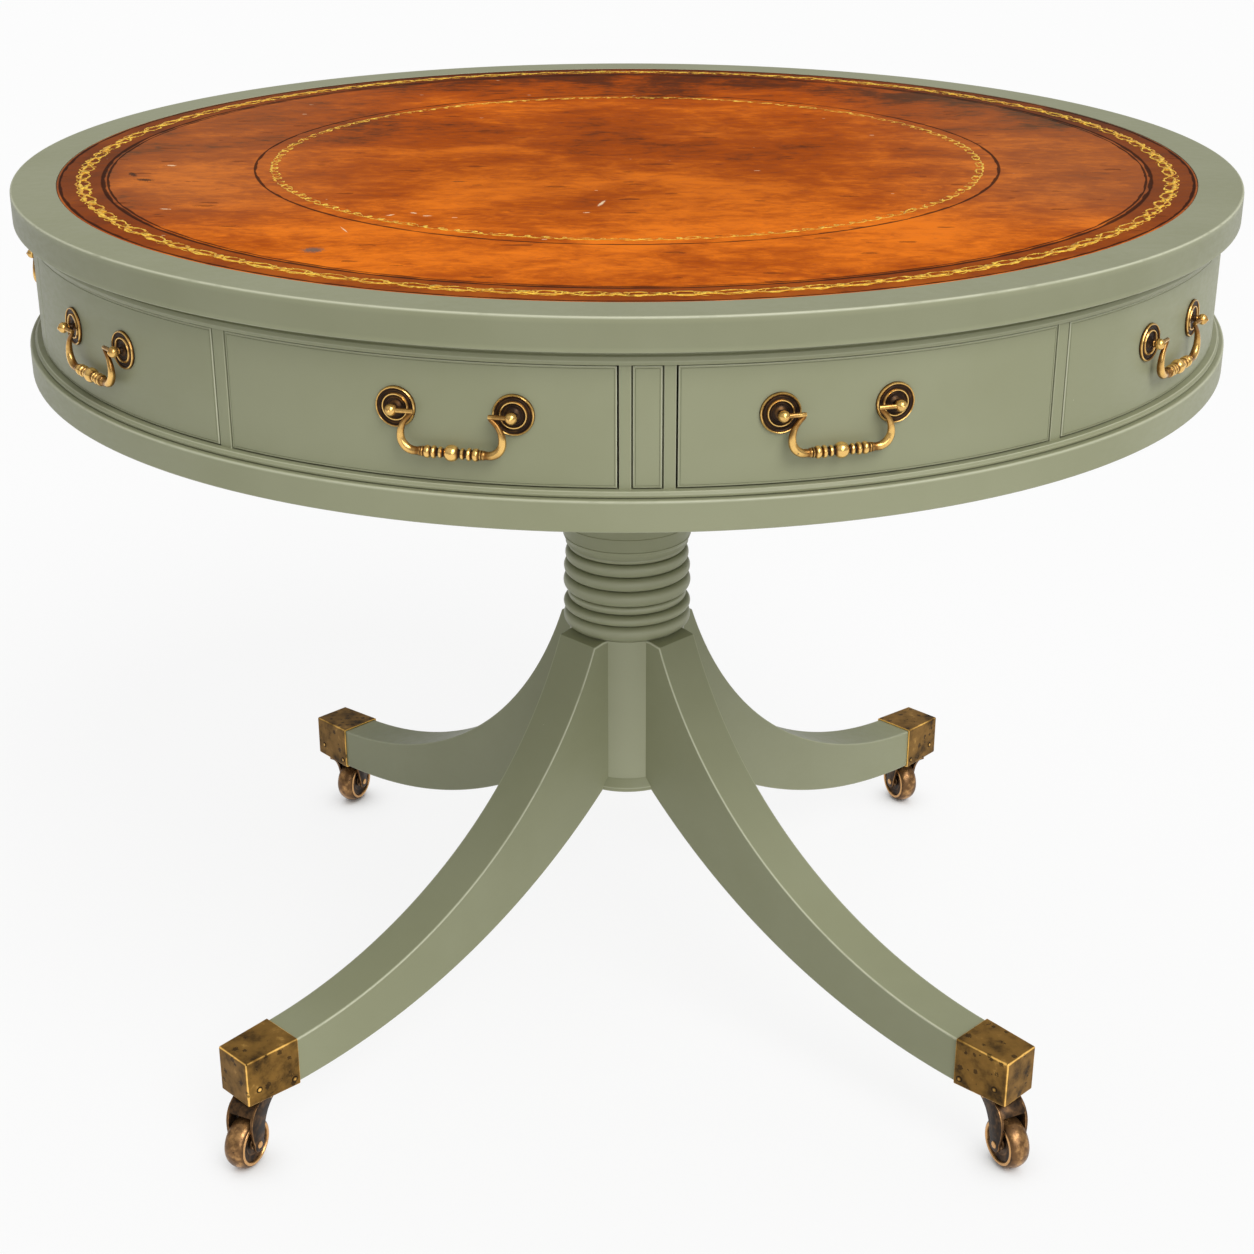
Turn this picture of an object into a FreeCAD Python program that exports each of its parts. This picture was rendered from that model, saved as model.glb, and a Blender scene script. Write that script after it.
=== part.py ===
import FreeCAD, Part
import math
import os

# A drum table: a round drum with a leather-lined top and drawers all round turns on a ringed
# column, which stands on sabre legs with brass box caps and castors.
# Millimetres, +Z up, origin on the floor under the column. Bearings are degrees from the
# front (-Y) towards the right (+X).

V = FreeCAD.Vector
UP = V(0, 0, 1)

# Heights of the drum, from the top downwards
table_height = 760.0
top_thickness = 23.3
top_rail_height = 10.7
front_opening_height = 82.0
bottom_rail_height = 4.6
floor_thickness = 21.4

# Top board and its leather
top_overhang = 12.5
top_edge_chamfer = 2.5
leather_border = 35.0
leather_thickness = 1.6
leather_recess_depth = 1.9
leather_gap = 0.4

# Drum body
frieze_radius = 475.5
rail_depth = 33.5
top_bead_height = 5.6
top_bead_stand = 2.6
bottom_bead_stand = 5.8
bottom_bead_round = 1.6
floor_overhang = 10.0
floor_edge_chamfer = 2.2
drum_turn = 1.56
bay_count = 5
rim_sides_per_bay = 16
rail_inner_sides_per_bay = 4

# Pilasters and stiles between the fronts
wide_pilaster_width = 36.0
pilaster_panel_width = 18.4
pilaster_panel_thickness = 5.0
panel_groove = 1.1
panel_end_gap = 0.8
narrow_stile_width = 10.0

# Drawer fronts, real and dummy
front_side_gap = 1.2
front_end_gap = 0.9
front_edge_thickness = 9.0
dummy_back_thickness = 12.0
dummy_back_side_room = 10.0

# Drawer boxes and what guides them
drawer_side_room = 7.3
drawer_inner_radius = 180.0
drawer_side_height = 66.0
drawer_side_thickness = 8.0
drawer_bottom_thickness = 5.0
drawer_bottom_lift = 4.0
drawer_running_gap = 0.3
guide_side_gap = 0.6
guide_width = 11.0
guide_height = 24.0
guide_ledge = 8.0
guide_end_gap = 0.3
stop_length = 9.0
stop_width = 30.0

# Handles: backplates, ball-headed posts and swan-neck bails
handle_span = 79.3
handle_height_share = 0.585
front_handle_shift = 3.9
plate_radius = 13.75
plate_edge = 1.2
plate_ring = 2.4
plate_crest_share = 0.86
plate_dish_share = 0.7
post_radius = 2.4
post_reach = 8.5
ball_radius = 4.4
plate_sides = 10
post_sides = 6
pin_radius = 1.7
pin_clearance = 0.06
pin_depth = 2.8
pin_end_gap = 0.12
bail_sides = 6
bail_drop = 25.7
bail_arm = 12.0
bail_radius = 2.3
grip_half_length = 21.7
grip_ball_radius = 5.1

# Centre lines of a bail's neck, as shares of its arm's inward length and of its drop,
# each with the thickness there as a share of the bail's radius
neck_shares = ((1.0, 0.0, 0.9), (0.66, 0.3, 0.9), (0.57, 0.7, 1.0))
# Turnings on half a grip, from its end to the ball: place and thickness as shares
grip_shares = ((1.12, 1.1), (0.76, 1.75), (0.3, 0.95))
# The grip's ball, as shares of its radius: place and thickness
grip_ball_shares = ((0.5, 0.9), (0.0, 1.0))

# Hub, spindle and platform
spindle_radius = 12.0
spindle_clearance = 0.06
spindle_depth = 110.0
spindle_top_room = 22.0
hub_width = 120.0
nut_radius = 21.0
nut_height = 11.0
nut_pocket_depth = 40.0
nut_gap = 0.3
nut_room = 6.0
nut_bore_sides = 12
platform_radius = 150.0
platform_thickness = 16.0
platform_edge_chamfer = 3.0
platform_sides = 24
platform_running_gap = 0.3

# Column, from the bottom upwards
column_foot = 216.0
column_sides = 32
post_outer_radius = 51.0
rings_bottom = 349.6
ring_valley_radius = 50.0
ring_radius = 56.2
# Turned rings, from the bottom: height, and how far each swells from the valley to the ring
ring_heights = (14.6, 10.3, 8.0, 14.2, 12.9, 12.0, 5.2)
ring_swell_shares = (1.0, 1.0, 0.4, 1.0, 0.92, 0.7, 0.3)
ring_crest_share = 0.5
collar_radius = 96.0
collar_thickness = 14.0
cove_radius_shares = (0.08, 0.12, 0.3, 0.68)
cove_height_shares = (0.0, 0.04, 0.45, 0.93)
column_cap_thickness = 11.0
column_cap_radius = 57.0
column_cap_straight = 4.0

# Legs
leg_count = 4
first_leg_bearing = 45.0
leg_width_at_column = 44.5
leg_width_at_foot = 39.2
leg_top_under_ring = 0.3
leg_shoulder_length = 10.4
leg_shoulder_fall = 2.0
leg_end_gap = 0.3
foot_top = 105.3
foot_bottom = 64.9
heel_bottom = 207.0
# Slopes of a leg's upper and lower curve at the column and at the foot, in degrees
leg_top_slopes = (-68.2, -4.7)
leg_bottom_slopes = (-41.9, -2.5)
leg_root = 12.0
dovetail_depth = 14.0
dovetail_neck = 18.0
dovetail_root = 26.0
dovetail_clearance = 0.15

# Box caps and castors
cap_start = 399.0
cap_length = 50.0
cap_side_taper = 2.4
cap_top_taper = 2.4
cap_wall = 1.5
cap_fit = 0.1
cap_chamfer = 1.1
screw_radius = 2.0
screw_crown_radius = 1.0
screw_stand = 0.7
screw_sides = 5
leg_screw_inset = 5.5
end_screw_inset = 11.0
castor_inset = 19.0
castor_rest_bearing = 25.0
castor_trail = 16.0
collar_plate_radius = 10.5
collar_plate_thickness = 2.3
castor_pin_radius = 4.0
castor_pin_head_radius = 6.2
castor_pin_head = 1.6
castor_pin_sides = 6
castor_gap = 0.3
fork_plate_thickness = 3.8
fork_plate_reach = 11.0
fork_arm_thickness = 2.6
fork_boss_radius = 7.0
fork_boss_sides = 8
fork_heel = 14.0
fork_waist = 3.5
wheel_radius = 22.5
wheel_width = 19.0
wheel_side_gap = 0.8
wheel_sides = 14
wheel_rim = 3.6
wheel_recess = 2.4
wheel_recess_slope = 1.2
wheel_shoulder = 3.2
axle_radius = 3.0
axle_clearance = 0.06
axle_sides = 8
axle_head = 0.8

overrun = 5.0
flat_tolerance = 1e-6

# Heights that follow
top_underside = table_height - top_thickness
opening_top = top_underside - top_rail_height
opening_bottom = opening_top - front_opening_height
floor_top = opening_bottom - bottom_rail_height
drum_bottom = floor_top - floor_thickness
platform_top = drum_bottom - platform_running_gap
column_top = platform_top - platform_thickness
handle_height = opening_bottom + handle_height_share * front_opening_height

# Radii that follow
top_radius = frieze_radius + top_overhang
leather_radius = top_radius - leather_border
floor_radius = frieze_radius + floor_overhang
rail_inner_radius = frieze_radius - rail_depth

# Bearings that follow
bay_pitch = 360.0 / bay_count
wide_half_angle = math.degrees(math.asin(wide_pilaster_width / 2 / frieze_radius))
narrow_half_angle = math.degrees(math.asin(narrow_stile_width / 2 / frieze_radius))
front_offset = (wide_half_angle + bay_pitch / 2 - narrow_half_angle) / 2

# Width that follows: a drawer passes between a wide pilaster and a narrow stile
drawer_width = 2 * (rail_inner_radius * math.sin(math.radians(front_offset))
                    - wide_pilaster_width / 2 * math.cos(math.radians(front_offset))
                    - drawer_side_room)


def box(x0, x1, y0, y1, z0, z1):
    """A plain block between two corners."""
    return Part.makeBox(x1 - x0, y1 - y0, z1 - z0, V(x0, y0, z0))


def rod(radius, z0, z1):
    """A round bar on the Z axis."""
    return Part.makeCylinder(radius, z1 - z0, V(0, 0, z0))


def turned(outline):
    """A solid turned round the Z axis from an outline of (radius, height) points."""
    wire = Part.makePolygon([V(r, 0, z) for r, z in outline + [outline[0]]])
    return Part.Face(wire).revolve(V(0, 0, 0), UP, 360)


def prism(outline, z0, z1):
    """An outline of (x, y) points raised from one height to another."""
    wire = Part.makePolygon([V(x, y, z0) for x, y in outline + [outline[0]]])
    return Part.Face(wire).extrude(V(0, 0, z1 - z0))


def corner_ring(radius, sides, centre, across, along, half_step=False):
    """The corners of a regular polygon round a centre, in the plane of two unit vectors."""
    start = 0.5 if half_step else 0.0
    turns = [2 * math.pi * (i + start) / sides for i in range(sides)]
    return [centre + across * (radius * math.cos(t)) + along * (radius * math.sin(t)) for t in turns]


def polygon_radius(round_radius, sides):
    """Corner radius of a polygon whose flats touch a circle from outside."""
    return round_radius / math.cos(math.pi / sides)


def flat_face(corners):
    """A flat face with straight edges."""
    return Part.Face(Part.makePolygon(corners + [corners[0]]))


def skinned(rings):
    """A solid of flat faces through rings of corners, closed by its first and last ring.

    A four-sided patch that would be twisted is made of two triangles.
    """
    faces = [flat_face(rings[0]), flat_face(rings[-1])]
    for low, high in zip(rings, rings[1:]):
        for i in range(len(low)):
            j = (i + 1) % len(low)
            a, b, c, d = low[i], low[j], high[j], high[i]
            normal = (b - a).cross(d - a).normalize()
            if abs((c - a).dot(normal)) < flat_tolerance:
                faces.append(flat_face([a, b, c, d]))
            else:
                faces += [flat_face([a, b, c]), flat_face([a, c, d])]
    solid = Part.makeSolid(Part.makeShell(faces))
    if solid.Volume < 0:
        solid.reverse()
    return solid


def faceted(stations, sides, half_step=False):
    """A many-sided turning on the Z axis from stations of (radius, height)."""
    return skinned([
        corner_ring(r, sides, V(0, 0, z), V(1, 0, 0), V(0, 1, 0), half_step) for r, z in stations])


def drum_ring(stations):
    """A thick disc of the drum with a many-sided rim, from stations of (radius, height)."""
    return faceted(stations, bay_count * rim_sides_per_bay)


def sawn_inside(ring, z0, z1):
    """A rail's ring with the straight-sawn inner faces of its segments."""
    sides = bay_count * rail_inner_sides_per_bay
    inner = polygon_radius(rail_inner_radius, sides)
    return ring.cut(faceted([(inner, z0 - overrun), (inner, z1 + overrun)], sides))


def placed(shape, bearing):
    """A shape modelled along +X, turned to its bearing round the column."""
    result = shape.copy()
    result.rotate(V(0, 0, 0), UP, bearing - 90)
    return result


def placed_all(shape, bearings):
    """Copies of a shape at several bearings, as one group of separate solids."""
    return Part.makeCompound([placed(shape, bearing) for bearing in bearings])


def wide_bearing(bay):
    """Bearing of a wide pilaster."""
    return drum_turn + bay * bay_pitch


def narrow_bearing(bay):
    """Bearing of a narrow stile."""
    return wide_bearing(bay) + bay_pitch / 2


def real_bearing(bay):
    """Bearing along which a real drawer slides out."""
    return wide_bearing(bay) - front_offset


def dummy_bearing(bay):
    """Bearing of the middle of a dummy front."""
    return wide_bearing(bay) + front_offset


def top_board():
    """The top with its recess for the leather."""
    recess_radius = leather_radius + leather_gap
    recess_floor = table_height - leather_recess_depth
    return turned([
        (0, top_underside),
        (top_radius, top_underside),
        (top_radius, table_height - top_edge_chamfer),
        (top_radius - top_edge_chamfer, table_height),
        (recess_radius, table_height),
        (recess_radius, recess_floor),
        (0, recess_floor)])


def leather_inset():
    """The leather disc glued into the recess."""
    low = table_height - leather_recess_depth
    return drum_ring([(leather_radius, low), (leather_radius, low + leather_thickness)])


def top_rail():
    """The rail under the top, with a bead along its lower edge."""
    ring = drum_ring([
        (frieze_radius + top_bead_stand, opening_top),
        (frieze_radius + top_bead_stand, opening_top + top_bead_height),
        (frieze_radius, top_underside)])
    return sawn_inside(ring, opening_top, top_underside)


def bottom_rail():
    """The rail under the fronts, with its rounded nose."""
    nose = frieze_radius + bottom_bead_stand
    ring = drum_ring([
        (nose - bottom_bead_round, floor_top),
        (nose, (floor_top + opening_bottom) / 2),
        (nose - bottom_bead_round, opening_bottom)])
    return sawn_inside(ring, floor_top, opening_bottom)


def drum_floor():
    """The thick round floor of the drum, with a bore for the spindle."""
    disc = drum_ring([
        (floor_radius, drum_bottom),
        (floor_radius, floor_top - floor_edge_chamfer),
        (floor_radius - floor_edge_chamfer, floor_top)])
    return disc.cut(rod(spindle_radius + spindle_clearance, drum_bottom - overrun, floor_top + overrun))


def drum_hub():
    """The block between floor and top that turns on the spindle."""
    bore = spindle_radius + spindle_clearance
    half = hub_width / 2
    pocket = nut_radius + nut_room
    shoulder = top_underside - nut_pocket_depth
    block = box(-half, half, -half, half, floor_top, top_underside)
    block = block.cut(rod(bore, floor_top - overrun, top_underside))
    block = block.cut(box(-pocket, pocket, -pocket, pocket, shoulder, top_underside + overrun))
    return placed(block, drum_turn)


def spindle():
    """The steel pin that stands in the column and carries the drum."""
    return rod(spindle_radius, column_top - spindle_depth, top_underside - spindle_top_room)


def spindle_nut():
    """The nut that keeps the drum on the spindle."""
    low = top_underside - nut_pocket_depth + nut_gap
    blank = faceted([(nut_radius, low), (nut_radius, low + nut_height)], 6)
    bore = polygon_radius(spindle_radius, nut_bore_sides)
    return blank.cut(faceted([(bore, low - overrun), (bore, low + nut_height + overrun)], nut_bore_sides))


def platform():
    """The round platform on the column, on which the drum turns."""
    disc = faceted([
        (platform_radius - platform_edge_chamfer, column_top),
        (platform_radius, column_top + platform_edge_chamfer),
        (platform_radius, platform_top)], platform_sides)
    return disc.cut(rod(spindle_radius, column_top - overrun, platform_top + overrun))


def sector(width, inner_radius, z0, z1):
    """A post across the frieze: parallel sides and an arched outer face."""
    half = width / 2
    outer = math.sqrt(frieze_radius ** 2 - half ** 2)
    edges = [
        Part.LineSegment(V(inner_radius, half, z0), V(inner_radius, -half, z0)),
        Part.LineSegment(V(inner_radius, -half, z0), V(outer, -half, z0)),
        Part.Arc(V(outer, -half, z0), V(frieze_radius, 0, z0), V(outer, half, z0)),
        Part.LineSegment(V(outer, half, z0), V(inner_radius, half, z0))]
    wire = Part.Wire([edge.toShape() for edge in edges])
    return Part.Face(wire).extrude(V(0, 0, z1 - z0))


def wide_pilaster():
    """A pilaster with a recess for its raised panel."""
    post = sector(wide_pilaster_width, rail_inner_radius, opening_bottom, opening_top)
    half = pilaster_panel_width / 2 + panel_groove
    floor = frieze_radius - pilaster_panel_thickness
    return post.cut(box(floor, frieze_radius + overrun, -half, half,
                        opening_bottom - overrun, opening_top + overrun))


def pilaster_panel():
    """The panel that stands in a wide pilaster, flush with its sides."""
    return sector(pilaster_panel_width, frieze_radius - pilaster_panel_thickness,
                  opening_bottom + panel_end_gap, opening_top - panel_end_gap)


def narrow_stile():
    """A plain stile between a real and a dummy front."""
    return sector(narrow_stile_width, rail_inner_radius, opening_bottom, opening_top)


def front_outline(side):
    """Corners of a front seen from above: back, outer edge, for one side.

    The edge lies along the pilaster or stile on that side, a gap away from it. Side is +1 for
    the wide pilaster's side and -1 for the narrow stile's.
    """
    if side > 0:
        angle = math.radians(front_offset)
        offset = wide_pilaster_width / 2 + front_side_gap
    else:
        angle = math.radians(bay_pitch / 2 - front_offset)
        offset = narrow_stile_width / 2 + front_side_gap
    reach = math.sqrt(frieze_radius ** 2 - offset ** 2)
    outer_x = reach * math.cos(angle) + offset * math.sin(angle)
    outer_y = reach * math.sin(angle) - offset * math.cos(angle)
    back_x = front_back_x()
    back_y = outer_y - (outer_x - back_x) * math.tan(angle)
    return (back_x, side * back_y), (outer_x, side * outer_y)


def front_back_x():
    """Distance of the flat back of a front from the drum's axis."""
    angle = math.radians(front_offset)
    offset = wide_pilaster_width / 2 + front_side_gap
    reach = math.sqrt(frieze_radius ** 2 - offset ** 2)
    return reach * math.cos(angle) + offset * math.sin(angle) - front_edge_thickness


def front(mirrored):
    """A bowed front with a flat back; mirrored puts the wide pilaster on its other side."""
    z0 = opening_bottom + front_end_gap
    z1 = opening_top - front_end_gap
    flip = -1 if mirrored else 1
    (ax, ay), (bx, by) = front_outline(1)
    (dx, dy), (cx, cy) = front_outline(-1)
    corners = [V(x, flip * y, z0) for x, y in ((ax, ay), (bx, by), (cx, cy), (dx, dy))]
    edges = [
        Part.LineSegment(corners[0], corners[1]),
        Part.Arc(corners[1], V(frieze_radius, 0, z0), corners[2]),
        Part.LineSegment(corners[2], corners[3]),
        Part.LineSegment(corners[3], corners[0])]
    wire = Part.Wire([edge.toShape() for edge in edges])
    return Part.Face(wire).extrude(V(0, 0, z1 - z0))


def dummy_front():
    """A fixed front with the backing board that fills its opening."""
    face = front(True)
    back_x = front_back_x()
    half = drawer_width / 2 - dummy_back_side_room
    backing = box(back_x - dummy_back_thickness, back_x, -half, half, opening_bottom, opening_top)
    return face.fuse(backing).removeSplitter()


def drawer_box():
    """The sides, back and bottom of a drawer, as separate boards."""
    low = opening_bottom + drawer_running_gap
    high = low + drawer_side_height
    half = drawer_width / 2
    inner = half - drawer_side_thickness
    back_x = front_back_x()
    first = drawer_inner_radius
    boards = [
        box(first, back_x, -half, -inner, low, high),
        box(first, back_x, inner, half, low, high),
        box(first, first + drawer_side_thickness, -inner, inner, low, high),
        box(first + drawer_side_thickness, back_x, -inner, inner,
            low + drawer_bottom_lift, low + drawer_bottom_lift + drawer_bottom_thickness)]
    return Part.makeCompound(boards)


def drawer_guide(side):
    """A guide strip along a drawer's side, with a ledge under it."""
    inner = drawer_width / 2 + guide_side_gap
    outer = inner + guide_width
    outline = [
        (inner - guide_ledge, floor_top),
        (outer, floor_top),
        (outer, floor_top + guide_height),
        (inner, floor_top + guide_height),
        (inner, opening_bottom),
        (inner - guide_ledge, opening_bottom)]
    outer_end = math.sqrt(rail_inner_radius ** 2 - outer ** 2) - guide_end_gap
    wire = Part.makePolygon([V(drawer_inner_radius, side * y, z) for y, z in outline + [outline[0]]])
    return Part.Face(wire).extrude(V(outer_end - drawer_inner_radius, 0, 0))


def drawer_stop():
    """The block behind a drawer."""
    end = drawer_inner_radius - drawer_running_gap
    return box(end - stop_length, end, -stop_width / 2, stop_width / 2,
               floor_top, floor_top + guide_height)


def handle_post():
    """A ringed backplate with its ball-headed post, along +Z from the surface."""
    plate = faceted([
        (plate_radius, 0),
        (plate_radius * plate_crest_share, plate_ring),
        (plate_radius * plate_dish_share, plate_edge)], plate_sides)
    head = faceted([
        (post_radius, plate_edge),
        (post_radius, post_reach - ball_radius),
        (ball_radius, post_reach),
        (post_radius, post_reach + ball_radius)], post_sides, half_step=True)
    return plate.fuse(head).removeSplitter()


def hinge_distance():
    """Distance of a bail's hinge line from the drum's axis."""
    head_distance = frieze_radius + post_reach
    return math.sqrt(head_distance ** 2 - (handle_span / 2) ** 2)


def handle_posts():
    """The two posts of one handle, with the holes for the bail's pins."""
    tilt = math.degrees(math.asin(handle_span / 2 / (frieze_radius + post_reach)))
    hole_radius = polygon_radius(pin_radius + pin_clearance, bail_sides)
    hole_end = handle_span / 2 - ball_radius + pin_depth + pin_end_gap
    posts = []
    for side in (-1, 1):
        post = handle_post()
        post.rotate(V(0, 0, 0), V(0, 1, 0), 90)
        post.translate(V(frieze_radius, 0, handle_height))
        post.rotate(V(0, 0, 0), UP, side * tilt)
        hole = bail_bar([
            (side * (hole_end - ball_radius - overrun), 0, hole_radius),
            (side * hole_end, 0, hole_radius)])
        posts.append(post.cut(hole))
    return Part.makeCompound(posts)


def bail_bar(stations):
    """A six-sided bar in the bail's plane from stations of (y, z, radius)."""
    x = hinge_distance()
    rings = []
    for i, (y, z, radius) in enumerate(stations):
        before = stations[max(i - 1, 0)]
        after = stations[min(i + 1, len(stations) - 1)]
        along = V(0, after[0] - before[0], after[1] - before[1]).normalize()
        across = along.cross(V(1, 0, 0))
        centre = V(x, y, handle_height + z)
        rings.append(corner_ring(radius, bail_sides, centre, V(1, 0, 0), across))
    return skinned(rings)


def bail():
    """A swan-neck bail: a pin into each post, an arm, a neck and a turned grip."""
    half = handle_span / 2
    mouth = half - ball_radius
    grip_z = -bail_drop
    pin = [(mouth + pin_depth, 0, pin_radius), (mouth, 0, pin_radius)]
    neck = [(half - bail_arm * inward, -bail_drop * drop, bail_radius * thick)
            for inward, drop, thick in neck_shares]
    grip = [(grip_half_length * place, grip_z, bail_radius * thick)
            for place, thick in grip_shares]
    ball = [(grip_ball_radius * place, grip_z, grip_ball_radius * thick)
            for place, thick in grip_ball_shares]
    left = pin + neck + grip + ball
    right = [(-y, z, radius) for y, z, radius in reversed(left[:-1])]
    return bail_bar(left + right)


def handle_bearing(bay, toward_wide, front_bearing):
    """Bearing of a handle: on the two front fronts it stands towards their wide pilaster."""
    shift = front_handle_shift if bay == 0 else 0
    return front_bearing + toward_wide * shift


def column():
    """The turned column with its rings, cove and collar, and the slots for the legs."""
    outline = [(post_outer_radius, column_foot), (post_outer_radius, rings_bottom)]
    z = rings_bottom
    for height, swell in zip(ring_heights, ring_swell_shares):
        radius = ring_valley_radius + swell * (ring_radius - ring_valley_radius)
        outline += [(ring_valley_radius, z), (radius, z + height * ring_crest_share)]
        z += height
    cove_top = column_top - collar_thickness
    for radius_share, height_share in zip(cove_radius_shares, cove_height_shares):
        outline.append((ring_valley_radius + radius_share * (collar_radius - ring_valley_radius),
                        z + height_share * (cove_top - z)))
    outline += [(collar_radius, cove_top), (collar_radius, column_top)]
    result = faceted(outline, column_sides)
    result = result.cut(rod(spindle_radius, column_top - spindle_depth, column_top + overrun))
    slot = dovetail(dovetail_clearance, column_foot - overrun, leg_top() + dovetail_clearance)
    return result.cut([placed(slot, leg_bearing(i)) for i in range(leg_count)])


def leg_bearing(leg):
    """Bearing of a leg."""
    return first_leg_bearing + leg * 360.0 / leg_count


def leg_top():
    """Height of the top of a leg, just under the lowest ring."""
    return rings_bottom - leg_top_under_ring


def dovetail(clearance, z0, z1):
    """The dovetail of a leg, or its slot when it has a clearance."""
    root_x = post_outer_radius - dovetail_depth - clearance
    neck = dovetail_neck / 2 + clearance
    root = dovetail_root / 2 + clearance
    return prism([
        (root_x, -root),
        (post_outer_radius + overrun, -neck),
        (post_outer_radius + overrun, neck),
        (root_x, root)], z0, z1)


def column_cap():
    """The small turned cap that closes the dovetail slots under the column."""
    low = column_foot - column_cap_thickness
    return faceted([
        (column_cap_radius, low),
        (column_cap_radius, low + column_cap_straight),
        (post_outer_radius, column_foot)], column_sides)


def arc_from(start, tangent, end):
    """An arc that leaves its start along a tangent, in the plane of a leg."""
    chord = end - start
    half_turn = math.atan2(tangent.x * chord.z - tangent.z * chord.x, tangent.dot(chord))
    sideways = V(-chord.z, 0, chord.x)
    middle = (start + end) * 0.5 - sideways * (0.5 * math.tan(half_turn / 2))
    return Part.Arc(start, middle, end).toShape()


def two_arcs(start, end, slopes):
    """Two arcs that run into each other smoothly, between two points with their slopes."""
    first, last = [V(math.cos(math.radians(a)), 0, math.sin(math.radians(a))) for a in slopes]
    span = end - start
    both = first + last
    bend = 2 - 2 * first.dot(last)
    reach = (math.sqrt(span.dot(both) ** 2 + bend * span.dot(span)) - span.dot(both)) / bend
    near = start + first * reach
    far = end - last * reach
    middle = (near + far) * 0.5
    return [arc_from(start, first, middle), arc_from(middle, (far - near).normalize(), end)]


def leg():
    """A sabre leg: its curved outline, tapered in width, with a dovetail and a foot block."""
    shoulder = V(post_outer_radius + leg_shoulder_length, 0, leg_top() - leg_shoulder_fall)
    toe = V(cap_start, 0, foot_top)
    sole = V(cap_start, 0, foot_bottom)
    heel = V(post_outer_radius, 0, heel_bottom)
    foot_end = cap_start + cap_length - cap_wall - cap_fit
    tip = V(foot_end, 0, foot_top_at(foot_end))
    inner = post_outer_radius - leg_root
    edges = two_arcs(shoulder, toe, leg_top_slopes)
    edges += [
        Part.makeLine(toe, tip),
        Part.makeLine(tip, V(foot_end, 0, foot_bottom)),
        Part.makeLine(V(foot_end, 0, foot_bottom), sole)]
    edges += [edge for edge in reversed(two_arcs(heel, sole, leg_bottom_slopes))]
    edges += [
        Part.makeLine(heel, V(inner, 0, heel_bottom)),
        Part.makeLine(V(inner, 0, heel_bottom), V(inner, 0, leg_top())),
        Part.makeLine(V(inner, 0, leg_top()), V(post_outer_radius, 0, leg_top())),
        Part.makeLine(V(post_outer_radius, 0, leg_top()), shoulder)]
    side_view = Part.Face(Part.Wire(edges))
    blank_width = leg_width_at_column + 2 * overrun
    slab = side_view.extrude(V(0, blank_width, 0))
    slab.translate(V(0, -blank_width / 2, 0))
    wide = leg_width_at_column / 2
    slim = foot_half_width(cap_start)
    plan_end = foot_end + overrun
    slimmest = foot_half_width(plan_end)
    plan = prism([
        (0, -wide),
        (post_outer_radius, -wide),
        (cap_start, -slim),
        (plan_end, -slimmest),
        (plan_end, slimmest),
        (cap_start, slim),
        (post_outer_radius, wide),
        (0, wide)], 0, table_height)
    shaped = slab.common(plan)
    shaped = shaped.cut(rod(post_outer_radius, 0, table_height))
    shaped = shaped.cut(rod(column_cap_radius + leg_end_gap, 0, column_foot + leg_end_gap))
    tenon = dovetail(0, column_foot + leg_end_gap, leg_top()).common(rod(post_outer_radius, 0, table_height))
    return shaped.fuse(tenon).removeSplitter()


def foot_half_width(x):
    """Half the width of a leg's tapering end at a distance from the column's axis."""
    return leg_width_at_foot / 2 - cap_side_taper * (x - cap_start) / cap_length


def foot_top_at(x):
    """Height of the top of a leg's tapering end at a distance from the column's axis."""
    return foot_top - cap_top_taper * (x - cap_start) / cap_length


def foot_block(x0, x1, growth):
    """The tapering end of a leg between two distances, grown sideways, up and down."""
    near = foot_half_width(x0) + growth
    far = foot_half_width(x1) + growth
    low = foot_bottom - growth
    plan = prism([(x0, -near), (x1, -far), (x1, far), (x0, near)], 0, table_height)
    side_view = flat_face([
        V(x0, -near, low),
        V(x1, -near, low),
        V(x1, -near, foot_top_at(x1) + growth),
        V(x0, -near, foot_top_at(x0) + growth)])
    return side_view.extrude(V(0, 2 * near, 0)).common(plan)


def box_cap():
    """A brass box cap: five walls round the tapering end of a leg."""
    end = cap_start + cap_length
    outer = foot_block(cap_start, end, cap_fit + cap_wall)
    rounded = [edge for edge in outer.Edges if edge.BoundBox.XMax > end - cap_wall]
    outer = outer.makeChamfer(cap_chamfer, rounded)
    return outer.cut(foot_block(cap_start - overrun, end - cap_wall, cap_fit))


def cap_screws():
    """Round-headed screws on both sides of a box cap."""
    slant = math.degrees(math.atan(cap_side_taper / cap_length))
    places = [
        (cap_start + leg_screw_inset, foot_bottom + leg_screw_inset),
        (cap_start + cap_length - end_screw_inset, foot_bottom + end_screw_inset)]
    screws = []
    for direction in (-1, 1):
        for x, z in places:
            screw = faceted([(screw_radius, 0), (screw_crown_radius, screw_stand)], screw_sides)
            screw.rotate(V(0, 0, 0), V(1, 0, 0), -90 * direction)
            screw.rotate(V(0, 0, 0), UP, -direction * slant)
            side = foot_half_width(x) + cap_fit + cap_wall
            screw.translate(V(x, direction * side, z))
            screws.append(screw)
    return screws


def castor_distance():
    """Distance of a castor's pin from the column's axis."""
    return cap_start + cap_length - castor_inset


def castor_top():
    """Height of the underside of a box cap, where a castor is fixed."""
    return foot_bottom - cap_fit - cap_wall


def castor_pin():
    """The pin under a box cap: a collar plate, a shank and a riveted head."""
    top = castor_top()
    plate_low = top - collar_plate_thickness
    fork_low = plate_low - castor_gap - fork_plate_thickness
    head_top = fork_low - castor_gap
    return faceted([
        (castor_pin_head_radius, head_top - castor_pin_head),
        (castor_pin_head_radius, head_top)], castor_pin_sides).fuse([
            faceted([(castor_pin_radius, head_top), (castor_pin_radius, plate_low)], castor_pin_sides),
            faceted([(collar_plate_radius, plate_low), (collar_plate_radius, top)], castor_pin_sides),
        ]).removeSplitter()


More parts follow.
